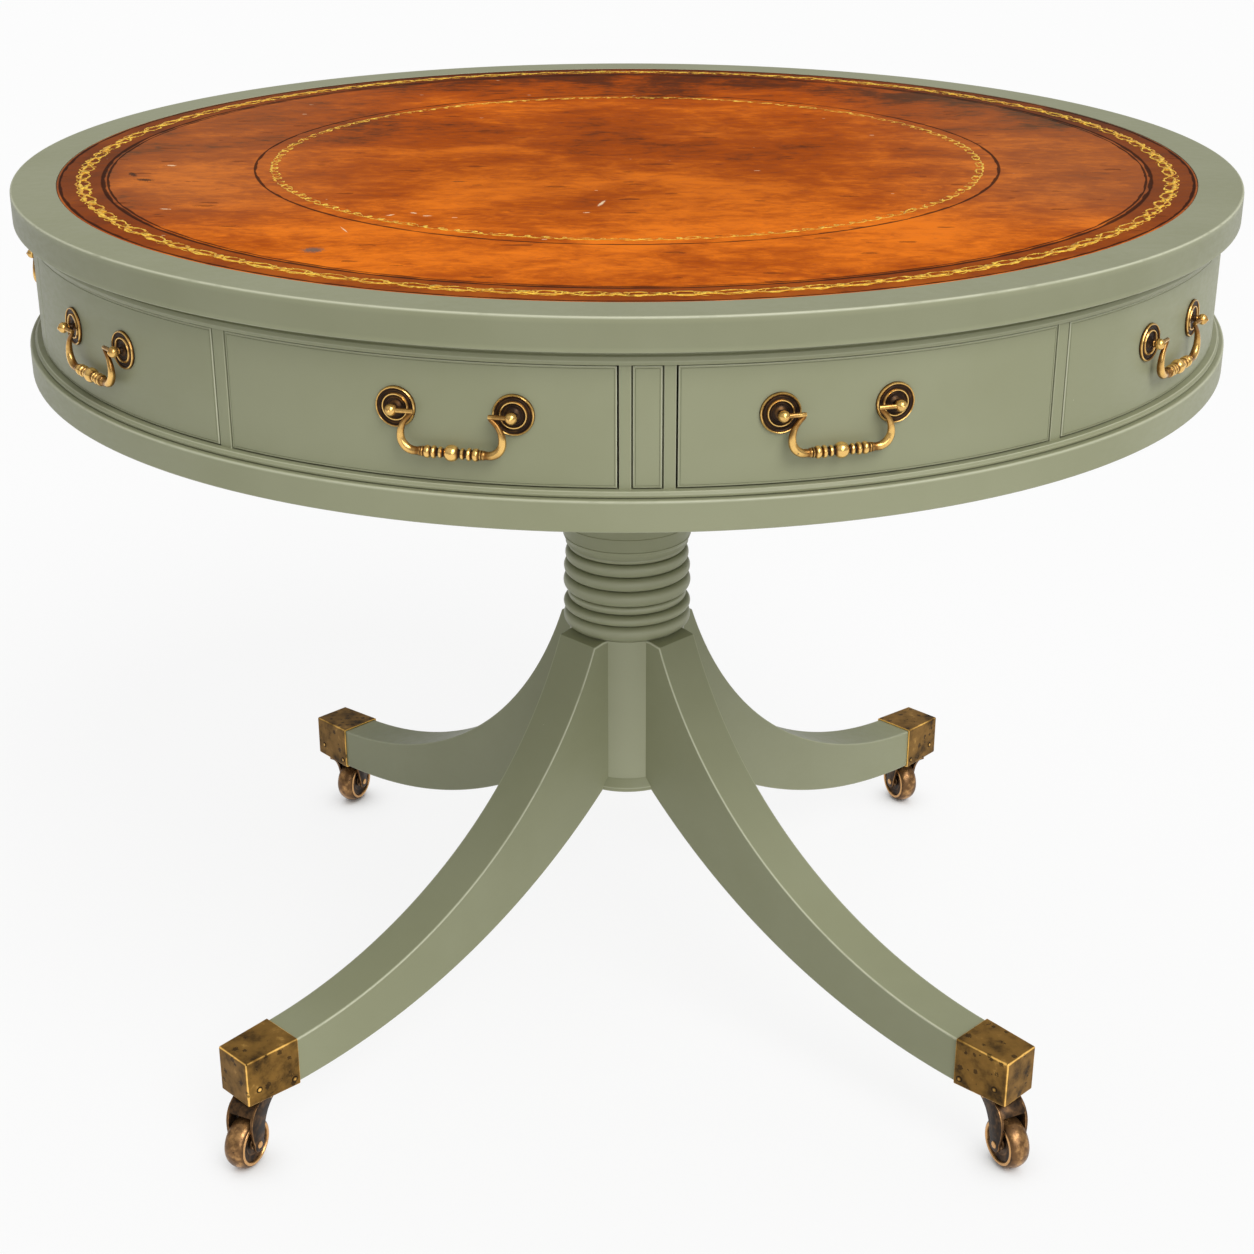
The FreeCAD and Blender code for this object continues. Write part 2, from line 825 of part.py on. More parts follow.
def fork_top():
    """Height of the top of a fork."""
    return castor_top() - collar_plate_thickness - castor_gap


def castor_fork():
    """A fork with two curved arms, made along +X from its pin, with its axle."""
    top = fork_top()
    plate_low = top - fork_plate_thickness
    half = wheel_width / 2 + wheel_side_gap + fork_arm_thickness
    boss = corner_ring(fork_boss_radius, fork_boss_sides, V(castor_trail, 0, wheel_radius),
                       V(1, 0, 0), V(0, 0, -1))
    lower_boss = boss[:fork_boss_sides // 2 + 1]
    middle = (top + wheel_radius) / 2
    corners = [
        V(-fork_plate_reach, 0, plate_low - fork_arm_thickness),
        V(-fork_plate_reach, 0, top),
        V(fork_plate_reach, 0, top),
        V(castor_trail, 0, middle + fork_boss_radius),
        V(castor_trail + fork_boss_radius, 0, middle - fork_waist)]
    corners += lower_boss
    corners.append(V(castor_trail - fork_heel, 0, middle - fork_waist))
    side_view = flat_face(corners)
    blank = side_view.extrude(V(0, 2 * half, 0))
    blank.translate(V(0, -half, 0))
    gap = half - fork_arm_thickness
    blank = blank.cut(box(-fork_plate_reach - overrun, castor_trail + fork_boss_radius + overrun,
                          -gap, gap, 0, plate_low))
    hole = polygon_radius(castor_pin_radius + axle_clearance, castor_pin_sides)
    blank = blank.cut(faceted([(hole, 0), (hole, table_height)], castor_pin_sides))
    axle = axle_bar(half + axle_head)
    return Part.makeCompound([blank.cut(axle), axle])


def axle_bar(half_length, radius=axle_radius):
    """The axle of a wheel, across the fork."""
    bar = faceted([(radius, -half_length), (radius, half_length)], axle_sides)
    bar.rotate(V(0, 0, 0), V(1, 0, 0), 90)
    bar.translate(V(castor_trail, 0, wheel_radius))
    return bar


def castor_wheel():
    """A domed wheel with dished sides and a bore for its axle."""
    half = wheel_width / 2
    tread = polygon_radius(wheel_radius, wheel_sides)
    shoulder = polygon_radius(wheel_radius - wheel_shoulder, wheel_sides)
    dish = shoulder - wheel_rim
    flat = half - wheel_recess
    blank = faceted([
        (shoulder, -half),
        (tread, -half + wheel_shoulder),
        (tread, half - wheel_shoulder),
        (shoulder, half)], wheel_sides, half_step=True)
    cuts = []
    for side in (-1, 1):
        cuts.append(faceted([
            (dish, side * half),
            (dish - wheel_recess_slope, side * flat)], wheel_sides, half_step=True))
    blank = blank.cut(cuts)
    blank.rotate(V(0, 0, 0), V(1, 0, 0), 90)
    blank.rotate(V(0, 0, 0), V(0, 1, 0), 90)
    blank.translate(V(castor_trail, 0, wheel_radius))
    return blank.cut(axle_bar(wheel_width, polygon_radius(axle_radius + axle_clearance, axle_sides)))


def castor_placed(shape, leg_index):
    """A castor's piece at its leg: the front ones trail forwards at rest, the back ones back."""
    bearing = leg_bearing(leg_index)
    side = 1 if bearing < 180 else -1
    half_turn = 180 if math.cos(math.radians(bearing)) < 0 else 0
    result = placed(shape, side * castor_rest_bearing + half_turn)
    angle = math.radians(bearing)
    result.translate(V(castor_distance() * math.sin(angle), -castor_distance() * math.cos(angle), 0))
    return result


def node_shapes():
    """Every node of the table with its shape."""
    bays = range(bay_count)
    legs = range(leg_count)
    names = ("front_right", "back_right", "back_left", "front_left")
    shapes = {
        "top_board": top_board(),
        "leather_inset": leather_inset(),
        "top_rail": top_rail(),
        "bottom_rail": bottom_rail(),
        "drum_floor": drum_floor(),
        "drum_hub": drum_hub(),
        "spindle": spindle(),
        "spindle_nut": spindle_nut(),
        "platform": platform(),
        "wide_pilasters": placed_all(wide_pilaster(), [wide_bearing(i) for i in bays]),
        "pilaster_panels": placed_all(pilaster_panel(), [wide_bearing(i) for i in bays]),
        "narrow_stiles": placed_all(narrow_stile(), [narrow_bearing(i) for i in bays]),
        "dummy_fronts": placed_all(dummy_front(), [dummy_bearing(i) for i in bays]),
        "dummy_handle_posts": placed_all(
            handle_posts(), [handle_bearing(i, -1, dummy_bearing(i)) for i in bays]),
        "drawer_guides": Part.makeCompound(
            [placed(drawer_guide(side), real_bearing(i)) for i in bays for side in (-1, 1)]),
        "drawer_stops": placed_all(drawer_stop(), [real_bearing(i) for i in bays]),
        "column": column(),
        "column_cap": column_cap(),
        "box_caps": placed_all(box_cap(), [leg_bearing(i) for i in legs]),
        "cap_screws": placed_all(Part.makeCompound(cap_screws()), [leg_bearing(i) for i in legs]),
        "castor_pins": Part.makeCompound([castor_placed(castor_pin(), i) for i in legs])}
    for i in bays:
        real = real_bearing(i)
        handle = handle_bearing(i, 1, real)
        dummy_handle = handle_bearing(i, -1, dummy_bearing(i))
        shapes[f"drawer_front_{i + 1}"] = placed(front(False), real)
        shapes[f"drawer_box_{i + 1}"] = placed(drawer_box(), real)
        shapes[f"drawer_posts_{i + 1}"] = placed(handle_posts(), handle)
        shapes[f"drawer_bail_{i + 1}"] = placed(bail(), handle)
        shapes[f"dummy_bail_{i + 1}"] = placed(bail(), dummy_handle)
    for i, name in enumerate(names):
        shapes[f"leg_{name}"] = placed(leg(), leg_bearing(i))
        shapes[f"castor_fork_{name}"] = castor_placed(castor_fork(), i)
        shapes[f"castor_wheel_{name}"] = castor_placed(castor_wheel(), i)
    return shapes


os.makedirs("parts", exist_ok=True)
for node, shape in node_shapes().items():
    shape.exportStep(f"parts/{node}.step")
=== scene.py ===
"""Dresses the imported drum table: turned and bowed painted wood, gilt leather, brass and bronze."""

import logging
import math
from collections.abc import Iterable, Sequence
from dataclasses import asdict, dataclass, field
from enum import Enum
from functools import reduce
from typing import Any

import bmesh
import bpy
from mathutils import Matrix, Vector


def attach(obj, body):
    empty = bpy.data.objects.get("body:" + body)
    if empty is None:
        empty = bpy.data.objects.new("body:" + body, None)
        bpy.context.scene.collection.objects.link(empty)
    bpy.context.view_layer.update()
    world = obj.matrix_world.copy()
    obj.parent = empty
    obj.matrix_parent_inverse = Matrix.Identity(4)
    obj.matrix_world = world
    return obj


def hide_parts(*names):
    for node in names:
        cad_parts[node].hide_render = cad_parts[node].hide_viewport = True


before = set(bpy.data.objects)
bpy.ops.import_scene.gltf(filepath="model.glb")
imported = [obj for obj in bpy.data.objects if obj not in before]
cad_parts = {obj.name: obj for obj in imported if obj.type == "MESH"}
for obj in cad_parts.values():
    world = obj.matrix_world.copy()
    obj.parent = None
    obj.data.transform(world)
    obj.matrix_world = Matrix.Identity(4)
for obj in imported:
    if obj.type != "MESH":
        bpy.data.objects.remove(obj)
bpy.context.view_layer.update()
LOG = logging.getLogger("drum_table")
MM = 0.001
FULL_TURN = 2 * math.pi
Colour = tuple[float, float, float]


class Slot(Enum):
    """Material slots of the record."""

    PAINT = "painted_wood"
    LEATHER = "leather"
    BARE_WOOD = "bare_wood"
    HANDLE_BRASS = "handle_brass"
    CAP_BRASS = "cap_brass"
    CASTOR_BRONZE = "castor_bronze"
    STEEL = "steel"


@dataclass(frozen=True)
class Station:
    """One point of an outline: two coordinates in millimetres and how worn the edge is; on paint that value
    also carries painted highlight, and painted shade below zero.
    """

    a: float
    b: float
    wear: float = 0.0


def stations(*rows: Sequence[float]) -> list[Station]:
    """Stations from rows of two coordinates and, where it isn't zero, the wear."""
    return [Station(*row) for row in rows]


@dataclass(frozen=True)
class Corner:
    """A corner of an outline, with the radius it is rounded to and its wear; on paint that wear also stands
    for painted highlight, or for painted shade below zero.
    """

    a: float
    b: float
    radius: float = 0.0
    wear: float = 0.0


@dataclass
class Form:
    """Corners, faces and wear of a piece while it is built, in millimetres."""

    points: list[Vector] = field(default_factory=list)
    wears: list[float] = field(default_factory=list)
    faces: list[tuple[int, ...]] = field(default_factory=list)

    def ring(self, points: Iterable[Vector], wears: Iterable[float]) -> list[int]:
        """Adds a ring of points.

        Args:
            points: The ring's points in order.
            wears: The wear at each point.

        Returns:
            The indices of the new points.
        """
        first = len(self.points)
        self.points.extend(points)
        self.wears.extend(wears)
        return list(range(first, len(self.points)))

    def bridge(self, low: Sequence[int], high: Sequence[int], closed: bool = True) -> None:
        """Joins two rings by faces; a ring of one point is a pole.

        Args:
            low: The first ring.
            high: The second ring.
            closed: Whether the rings close on themselves.
        """
        count = max(len(low), len(high))
        for i in range(count if closed else count - 1):
            j = (i + 1) % count
            corners = [low[i % len(low)], low[j % len(low)], high[j % len(high)], high[i % len(high)]]
            self.faces.append(tuple(dict.fromkeys(corners)))

    def skin(self, rings: Sequence[Sequence[int]], looped: bool = False) -> "Form":
        """Joins rings one after another, then the last to the first or each end to itself.

        Args:
            rings: The rings in order.
            looped: Whether the last ring joins the first, as in a rail.

        Returns:
            This form.
        """
        for low, high in zip(rings, rings[1:]):
            self.bridge(low, high)
        if looped:
            self.bridge(rings[-1], rings[0])
        else:
            self.faces += [tuple(ring) for ring in (rings[0], rings[-1]) if len(ring) > 1]
        return self

    def add(self, other: "Form", place: Matrix | None = None) -> "Form":
        """Adds another form.

        Args:
            other: The form to add.
            place: Where it goes; as it is when left out.

        Returns:
            This form.
        """
        first = len(self.points)
        matrix = place or Matrix.Identity(4)
        self.points.extend(matrix @ point for point in other.points)
        self.wears.extend(other.wears)
        self.faces.extend(tuple(first + i for i in face) for face in other.faces)
        return self

    def moved(self, place: Matrix) -> "Form":
        """A copy of this form at a place."""
        return Form().add(self, place)

    def mesh(self, name: str, crease: float = 32.0) -> bpy.types.Mesh:
        """Makes the mesh of this form in metres.

        Args:
            name: The mesh's name.
            crease: The angle in degrees past which an edge stays sharp.

        Returns:
            The mesh, with outward faces and the wear, which also carries painted highlight and painted
            shade, as a point attribute.
        """
        mesh = bpy.data.meshes.new(name)
        mesh.from_pydata([point * MM for point in self.points], [], self.faces)
        attribute = mesh.attributes.new("wear", "FLOAT", "POINT")
        attribute.data.foreach_set("value", self.wears)
        work = bmesh.new()
        work.from_mesh(mesh)
        bmesh.ops.recalc_face_normals(work, faces=work.faces)
        work.to_mesh(mesh)
        work.free()
        mesh.polygons.foreach_set("use_smooth", [True] * len(mesh.polygons))
        mesh.set_sharp_from_angle(angle=math.radians(crease))
        mesh.update()
        return mesh


def rounded(corners: Sequence[Corner], closed: bool = False, steps: int = 4,
            guard: float = 0.4) -> list[Station]:
    """Rounds the corners of an outline.

    Args:
        corners: The outline's corners.
        closed: Whether the last corner joins the first.
        steps: How many steps a rounding has.
        guard: The distance beside a rounding within which its wear fades.

    Returns:
        The stations of the rounded outline.
    """
    outline = []
    count = len(corners)
    for i, corner in enumerate(corners):
        here = Vector((corner.a, corner.b))
        open_end = not closed and i in (0, count - 1)
        if open_end or not corner.radius:
            outline.append(Station(corner.a, corner.b, corner.wear))
            continue
        before = Vector((corners[i - 1].a, corners[i - 1].b)) - here
        after = Vector((corners[(i + 1) % count].a, corners[(i + 1) % count].b)) - here
        half_angle = before.angle(after) / 2
        reach = min(corner.radius / math.tan(half_angle), before.length * 0.45, after.length * 0.45)
        start = here + before.normalized() * reach
        end = here + after.normalized() * reach
        if corner.wear and before.length > 2 * (reach + guard):
            far = here + before.normalized() * (reach + guard)
            outline.append(Station(far.x, far.y))
        for step in range(steps + 1):
            share = step / steps
            point = start.lerp(here, share).lerp(here.lerp(end, share), share)
            middle = 1 - abs(2 * share - 1)
            outline.append(Station(point.x, point.y, corner.wear * middle))
        if corner.wear and after.length > 2 * (reach + guard):
            far = here + after.normalized() * (reach + guard)
            outline.append(Station(far.x, far.y))
    return outline


def turned(outline: Sequence[Station], sides: int, closed: bool = False) -> Form:
    """Turns an outline of (radius, height) round the Z axis.

    Args:
        outline: The outline.
        sides: How many sides the turning has.
        closed: Whether the outline closes on itself, as a rail's does.

    Returns:
        The turned form.
    """
    form = Form()
    turns = [FULL_TURN * i / sides for i in range(sides)]
    rings = []
    for s in outline:
        count = sides if s.a else 1
        points = [Vector((s.a * math.cos(t), s.a * math.sin(t), s.b)) for t in turns[:count]]
        rings.append(form.ring(points, [s.wear] * count))
    return form.skin(rings, closed)


def drawn(outline: Sequence[Station], low: float, high: float) -> Form:
    """Raises a closed outline of (x, y) from one height to another.

    Args:
        outline: The closed outline.
        low: The lower height.
        high: The upper height.

    Returns:
        The form.
    """
    form = Form()
    wears = [s.wear for s in outline]
    return form.skin([form.ring([Vector((s.a, s.b, z)) for s in outline], wears) for z in (low, high)])


def slab(outline: Sequence[Vector], thickness: float, edge: float, wear: float) -> Form:
    """A flat plate with rounded edges, lying in XZ and thick along Y.

    Args:
        outline: Corners (x, z) in order.
        thickness: The plate's thickness.
        edge: The rounding of its edges.
        wear: The wear of its edges.

    Returns:
        The form, centred on Y = 0.
    """
    count = len(outline)
    inward = []
    for i in range(count):
        along = (outline[(i + 1) % count] - outline[i - 1]).normalized()
        inward.append(Vector((-along.y, along.x)))
    area = sum(outline[i - 1].x * outline[i].y - outline[i].x * outline[i - 1].y for i in range(count))
    sign = 1 if area > 0 else -1
    half = thickness / 2
    side = [(half, edge, 0.0), (half - 0.3 * edge, 0.3 * edge, wear), (half - edge, 0.0, wear / 2)]
    form = Form()
    rings = []
    for y, inset, edge_wear in [(-y, inset, level) for y, inset, level in side] + side[::-1]:
        points = [p + n * (inset * sign) for p, n in zip(outline, inward)]
        rings.append(form.ring([Vector((p.x, y, p.y)) for p in points], [edge_wear] * count))
    return form.skin(rings)


def smooth_path(points: Sequence[Sequence[float]], steps: int) -> list[list[float]]:
    """Runs a smooth line through points of any number of coordinates.

    Args:
        points: The points.
        steps: How many steps lie between two points.

    Returns:
        The line's points.
    """
    line = []
    last = len(points) - 1
    for i in range(last):
        p0, p1, p2, p3 = (points[max(i - 1, 0)], points[i], points[i + 1], points[min(i + 2, last)])
        for step in range(steps):
            t = step / steps
            line.append([
                0.5 * (2 * b + (c - a) * t + (2 * a - 5 * b + 4 * c - d) * t ** 2
                       + (3 * b - a - 3 * c + d) * t ** 3)
                for a, b, c, d in zip(p0, p1, p2, p3)])
    line.append(list(points[last]))
    return line


def swept(path: Sequence[Sequence[float]], sides: int, normal: Vector) -> Form:
    """A round bar along a path that lies in one plane, more worn on the side of its normal.

    Args:
        path: Points of the path as (x, y, z, radius, wear).
        sides: How many sides the bar has.
        normal: The normal of the path's plane.

    Returns:
        The form, closed at both ends.
    """
    form = Form()
    turns = [FULL_TURN * k / sides for k in range(sides)]
    rings = []
    for i, (x, y, z, radius, wear) in enumerate(path):
        before = Vector(path[max(i - 1, 0)][:3])
        after = Vector(path[min(i + 1, len(path) - 1)][:3])
        across = (after - before).normalized().cross(normal)
        rings.append(form.ring(
            [Vector((x, y, z)) + (normal * math.cos(t) + across * math.sin(t)) * radius for t in turns],
            [wear * (0.72 + 0.28 * math.cos(t)) for t in turns]))
    return form.skin(rings)


def turn(degrees: float, axis: str) -> Matrix:
    """A turn in degrees round an axis."""
    return Matrix.Rotation(math.radians(degrees), 4, axis)


def at_bearing(bearing: float) -> Matrix:
    """The turn from +X to a bearing, in degrees from the front (-Y) towards the right (+X)."""
    return turn(bearing - 90, "Z")


def linear(red: float, green: float, blue: float) -> tuple[float, float, float, float]:
    """A colour from its display values of 0 to 255."""
    shares = [value / 255 for value in (red, green, blue)]
    return (*(s / 12.92 if s <= 0.04045 else ((s + 0.055) / 1.055) ** 2.4 for s in shares), 1.0)


class Wire:
    """An output socket of a node tree that can be reckoned with."""

    def __init__(self, nodes: "Nodes", socket: bpy.types.NodeSocket) -> None:
        """Takes the maker of the tree's nodes and the socket."""
        self.nodes = nodes
        self.socket = socket

    def math(self, operation: str, *others: Any, clamp: bool = False) -> "Wire":
        """The result of a math node on this wire and other wires or numbers."""
        return self.nodes.math(operation, self, *others, clamp=clamp)

    def __add__(self, other: Any) -> "Wire":
        """The sum."""
        return self.math("ADD", other)

    def __sub__(self, other: Any) -> "Wire":
        """The difference."""
        return self.math("SUBTRACT", other)

    def __mul__(self, other: Any) -> "Wire":
        """The product."""
        return self.math("MULTIPLY", other)

    def __truediv__(self, other: Any) -> "Wire":
        """The quotient."""
        return self.math("DIVIDE", other)

    def __lt__(self, other: Any) -> "Wire":
        """One where this is less than the other, and zero elsewhere."""
        return self.math("LESS_THAN", other)

    def span(self, low: float, high: float, to_low: float = 0.0, to_high: float = 1.0) -> "Wire":
        """This value carried smoothly from one span to another.

        Args:
            low: Where this value's span starts.
            high: Where it ends.
            to_low: What its start is carried to.
            to_high: What its end is carried to.

        Returns:
            The value carried over.
        """
        return self.nodes.wire("ShaderNodeMapRange", {
            "Value": self, "From Min": low, "From Max": high, "To Min": to_low, "To Max": to_high},
            interpolation_type="SMOOTHSTEP")

    def mix(self, first: Any, second: Any) -> "Wire":
        """Two colours, as wires or display values, mixed by this factor.

        Args:
            first: The colour at a factor of zero.
            second: The colour at a factor of one.

        Returns:
            The mixed colour.
        """
        colours = [c if isinstance(c, Wire) else linear(*c) for c in (first, second)]
        return self.nodes.wire("ShaderNodeMix", {0: self, 6: colours[0], 7: colours[1]}, 2,
                               data_type="RGBA")


class Nodes:
    """Fills an empty node tree."""

    def __init__(self, tree: bpy.types.NodeTree) -> None:
        """Takes the tree and empties it."""
        self.tree = tree
        tree.nodes.clear()

    def add(self, kind: str, inputs: dict[Any, Any] | None = None, **settings: Any) -> bpy.types.Node:
        """Adds a node and links or sets its inputs.

        Args:
            kind: The node's type.
            inputs: Input names or places, each with a wire to link or a value.
            settings: The node's own settings.

        Returns:
            The node.
        """
        node = self.tree.nodes.new(kind)
        for name, value in settings.items():
            setattr(node, name, value)
        for key, value in (inputs or {}).items():
            if isinstance(value, Wire):
                self.tree.links.new(value.socket, node.inputs[key])
            else:
                node.inputs[key].default_value = value
        return node

    def wire(self, kind: str, inputs: dict[Any, Any] | None = None, output: int | str = 0,
             **settings: Any) -> Wire:
        """Adds a node and gives one of its outputs."""
        return Wire(self, self.add(kind, inputs, **settings).outputs[output])

    def wires(self, kind: str, inputs: dict[Any, Any]) -> list[Wire]:
        """Adds a node and gives all its outputs."""
        return [Wire(self, socket) for socket in self.add(kind, inputs).outputs]

    def math(self, operation: str, *values: Any, clamp: bool = False) -> Wire:
        """The result of a math node on wires or numbers."""
        return self.wire("ShaderNodeMath", dict(enumerate(values)), operation=operation, use_clamp=clamp)


class GeometryTree(Nodes):
    """A Geometry Nodes tree with named inputs that ends in Realize Instances and Set Material."""

    def __init__(self, name: str) -> None:
        """Starts the tree.

        Args:
            name: The tree's name.
        """
        super().__init__(bpy.data.node_groups.new(name, "GeometryNodeTree"))
        for way in ("INPUT", "OUTPUT"):
            self.tree.interface.new_socket("Geometry", in_out=way, socket_type="NodeSocketGeometry")
        self.inlet = self.tree.nodes.new("NodeGroupInput")
        self.outlet = self.tree.nodes.new("NodeGroupOutput")

    def value(self, name: str, kind: str = "NodeSocketFloat") -> Wire:
        """Adds a named input to the tree."""
        self.tree.interface.new_socket(name, in_out="INPUT", socket_type=kind)
        return Wire(self, self.inlet.outputs[name])

    def finish(self, geometry: Wire) -> "GeometryTree":
        """Ends the tree in Realize Instances and Set Material.

        Args:
            geometry: What the tree has built.

        Returns:
            The tree.
        """
        real = self.wire("GeometryNodeRealizeInstances", {0: geometry})
        dressed = self.wire("GeometryNodeSetMaterial", {
            0: real, "Material": self.value("Material", "NodeSocketMaterial")})
        self.tree.links.new(dressed.socket, self.outlet.inputs[0])
        return self

    def build(self, name: str, mesh: bpy.types.Mesh, values: dict[str, Any]) -> bpy.types.Mesh:
        """Runs the tree on a mesh.

        Args:
            name: The name of the result.
            mesh: The mesh that goes in.
            values: The tree's inputs by name.

        Returns:
            The plain mesh that comes out.
        """
        holder = bpy.data.objects.new(name + "_build", mesh)
        bpy.context.scene.collection.objects.link(holder)
        modifier = holder.modifiers.new("build", "NODES")
        modifier.node_group = self.tree
        for item in self.tree.interface.items_tree:
            if item.in_out == "INPUT" and item.name in values:
                modifier[item.identifier] = values[item.name]
        evaluated = holder.evaluated_get(bpy.context.evaluated_depsgraph_get())
        result = bpy.data.meshes.new_from_object(evaluated)
        holder.modifiers.clear()
        bpy.data.objects.remove(holder)
        result.name = name
        return result


def round_repeat_tree() -> GeometryTree:
    """A tree that repeats its mesh round the drum's axis.

    Returns:
        The tree.
    """
    tree = GeometryTree("round_repeat")
    count = tree.value("Count", "NodeSocketInt")
    start = tree.value("Start")
    angle = tree.wire("GeometryNodeInputIndex") * tree.math("DIVIDE", FULL_TURN, count) + start
    placed = tree.wire("GeometryNodeInstanceOnPoints", {
        "Points": tree.wire("GeometryNodePoints", {"Count": count}),
        "Instance": Wire(tree, tree.inlet.outputs["Geometry"]),
        "Rotation": tree.wire("ShaderNodeCombineXYZ", {"Z": angle})})
    return tree.finish(placed)


def gilt_line_tree() -> GeometryTree:
    """A tree that draws a looping gilt stroke round a circle, thick and thin as a tool leaves it.

    Returns:
        The tree.
    """
    tree = GeometryTree("gilt_line")
    points = tree.value("Points", "NodeSocketInt")
    radius, height, loops, reach, run, wander, stroke, breaks, seed = map(tree.value, (
        "Radius", "Height", "Loops", "Reach", "Run", "Wander", "Stroke", "Breaks", "Seed"))
    circle = tree.wire("GeometryNodeCurvePrimitiveCircle", {"Resolution": points, "Radius": radius})
    angle = tree.wire("GeometryNodeSplineParameter") * FULL_TURN
    phase = angle * loops
    cosine, sine = angle.math("COSINE"), angle.math("SINE")
    outward = phase.math("COSINE") * reach + radius
    along = phase.math("SINE") * run
    place = tree.wire("GeometryNodeInputPosition")
    shake = tree.wire("ShaderNodeTexNoise", {
        "Vector": place, "W": seed, "Scale": 95.0, "Detail": 1.0}, 1, noise_dimensions="4D")
    stray_x, stray_y, _ = tree.wires("ShaderNodeSeparateXYZ", {0: shake})
    position = tree.wire("ShaderNodeCombineXYZ", {
        "X": outward * cosine - along * sine + (stray_x - 0.5) * wander,
        "Y": outward * sine + along * cosine + (stray_y - 0.5) * wander, "Z": height})
    moved = tree.wire("GeometryNodeSetPosition", {0: circle, "Position": position})
    upright = tree.wire("GeometryNodeSetCurveNormal", {0: moved}, mode="Z_UP")
    press = tree.wire("ShaderNodeTexNoise", {
        "Vector": place, "W": seed + 7.0, "Scale": 160.0, "Detail": 2.0}, noise_dimensions="4D")
    pressed = tree.wire("ShaderNodeMapRange", {
        "Value": press, "From Min": breaks, "From Max": 0.68, "To Min": 0.02, "To Max": 1.0})
    thick = tree.wire("GeometryNodeSetCurveRadius", {0: upright, "Radius": pressed * stroke})
    profile = tree.wire("GeometryNodeCurvePrimitiveQuadrilateral", {0: 1.0, 1: 0.12})
    return tree.finish(tree.wire("GeometryNodeCurveToMesh", {
        0: thick, 1: profile, "Scale": tree.wire("GeometryNodeInputRadius")}))


class ShaderTree(Nodes):
    """A shader tree with what the finishes have in common."""

    def place(self) -> Wire:
        """Object coordinates as they are."""
        return self.wire("ShaderNodeTexCoord", output="Object")

    def coordinates(self, scale: Sequence[float] = (1, 1, 1)) -> Wire:
        """Object coordinates, stretched by a scale."""
        return self.wire("ShaderNodeMapping", {"Vector": self.place(), "Scale": scale})

    def from_axis(self, place: Wire) -> Wire:
        """How far a place lies from the Z axis."""
        flat = self.wire("ShaderNodeVectorMath", {0: place, 1: (1.0, 1.0, 0.0)}, operation="MULTIPLY")
        return self.wire("ShaderNodeVectorMath", {0: flat}, "Value", operation="LENGTH")

    def noise(self, vector: Wire, scale: Any, detail: float = 3.0, roughness: float = 0.55,
              distortion: float = 0.0) -> Wire:
        """The value of a noise texture.

        Args:
            vector: The coordinates.
            scale: How fine it is.
            detail: How many finer layers it has.
            roughness: How strong those layers are.
            distortion: How far it is bent.

        Returns:
            The value, about 0 to 1.
        """
        return self.wire("ShaderNodeTexNoise", {
            "Vector": vector, "Scale": scale, "Detail": detail, "Roughness": roughness,
            "Distortion": distortion})

    def wear(self) -> Wire:
        """How worn the surface is, with painted highlights on paint; less than zero in its hollows, where
        paint takes painted shade.
        """
        return self.wire("ShaderNodeAttribute", output="Fac", attribute_name="wear")

    def grouped(self, group: bpy.types.NodeTree, **values: float) -> Wire:
        """The mask of a shared group with values of its own."""
        return self.wire("ShaderNodeGroup", values, node_tree=group)

    @staticmethod
    def greatest(masks: Iterable[Wire]) -> Wire:
        """The greatest of several masks at each place."""
        return reduce(lambda one, other: one.math("MAXIMUM", other), masks)

    def seen_by(self, *rays: str) -> Wire:
        """One for these kinds of rays, and zero for all others."""
        path = self.add("ShaderNodeLightPath")
        return self.greatest(Wire(self, path.outputs[f"Is {ray} Ray"]) for ray in rays)


class MaskGroup(ShaderTree):
    """A shader node group with number inputs and a mask as its output."""

    def __init__(self, name: str, **inputs: float) -> None:
        """Starts the group with its inputs' names and defaults.

        Args:
            name: The group's name.
            inputs: Its inputs' names and defaults.
        """
        super().__init__(bpy.data.node_groups.new(name, "ShaderNodeTree"))
        for key, value in inputs.items():
            socket = self.tree.interface.new_socket(key, in_out="INPUT", socket_type="NodeSocketFloat")
            socket.default_value = value
        self.tree.interface.new_socket("mask", in_out="OUTPUT", socket_type="NodeSocketFloat")
        self.inlet = self.tree.nodes.new("NodeGroupInput")
        self.outlet = self.tree.nodes.new("NodeGroupOutput")

    def value(self, name: str) -> Wire:
        """One of the group's inputs."""
        return Wire(self, self.inlet.outputs[name])

    def finish(self, mask: Wire) -> bpy.types.NodeTree:
        """Ends the group in its mask."""
        self.tree.links.new(mask.socket, self.outlet.inputs[0])
        return self.tree


def wear_and_highlight_group() -> bpy.types.NodeTree:
    """Pale edges, from wear and painted highlight: a slight value runs even, a strong one is broken up so
    that it isn't a drawn line.

    Returns:
        The group.
    """
    group = MaskGroup("wear_and_highlight", bare=0.22, scale=60.0, even_wear_and_light=0.35)
    wear, even = group.wear(), group.value("even_wear_and_light")
    cloud = group.noise(group.place(), group.value("scale"), 3.0, 0.5)
    keep = group.wire("ShaderNodeMapRange", {
        "Value": cloud, "From Min": group.value("bare"), "From Max": 0.44})
    strong = (wear - even).math("MAXIMUM", 0.0)
    return group.finish((wear.math("MINIMUM", even) * 0.75).math("ADD", strong * 1.13 * keep, clamp=True))


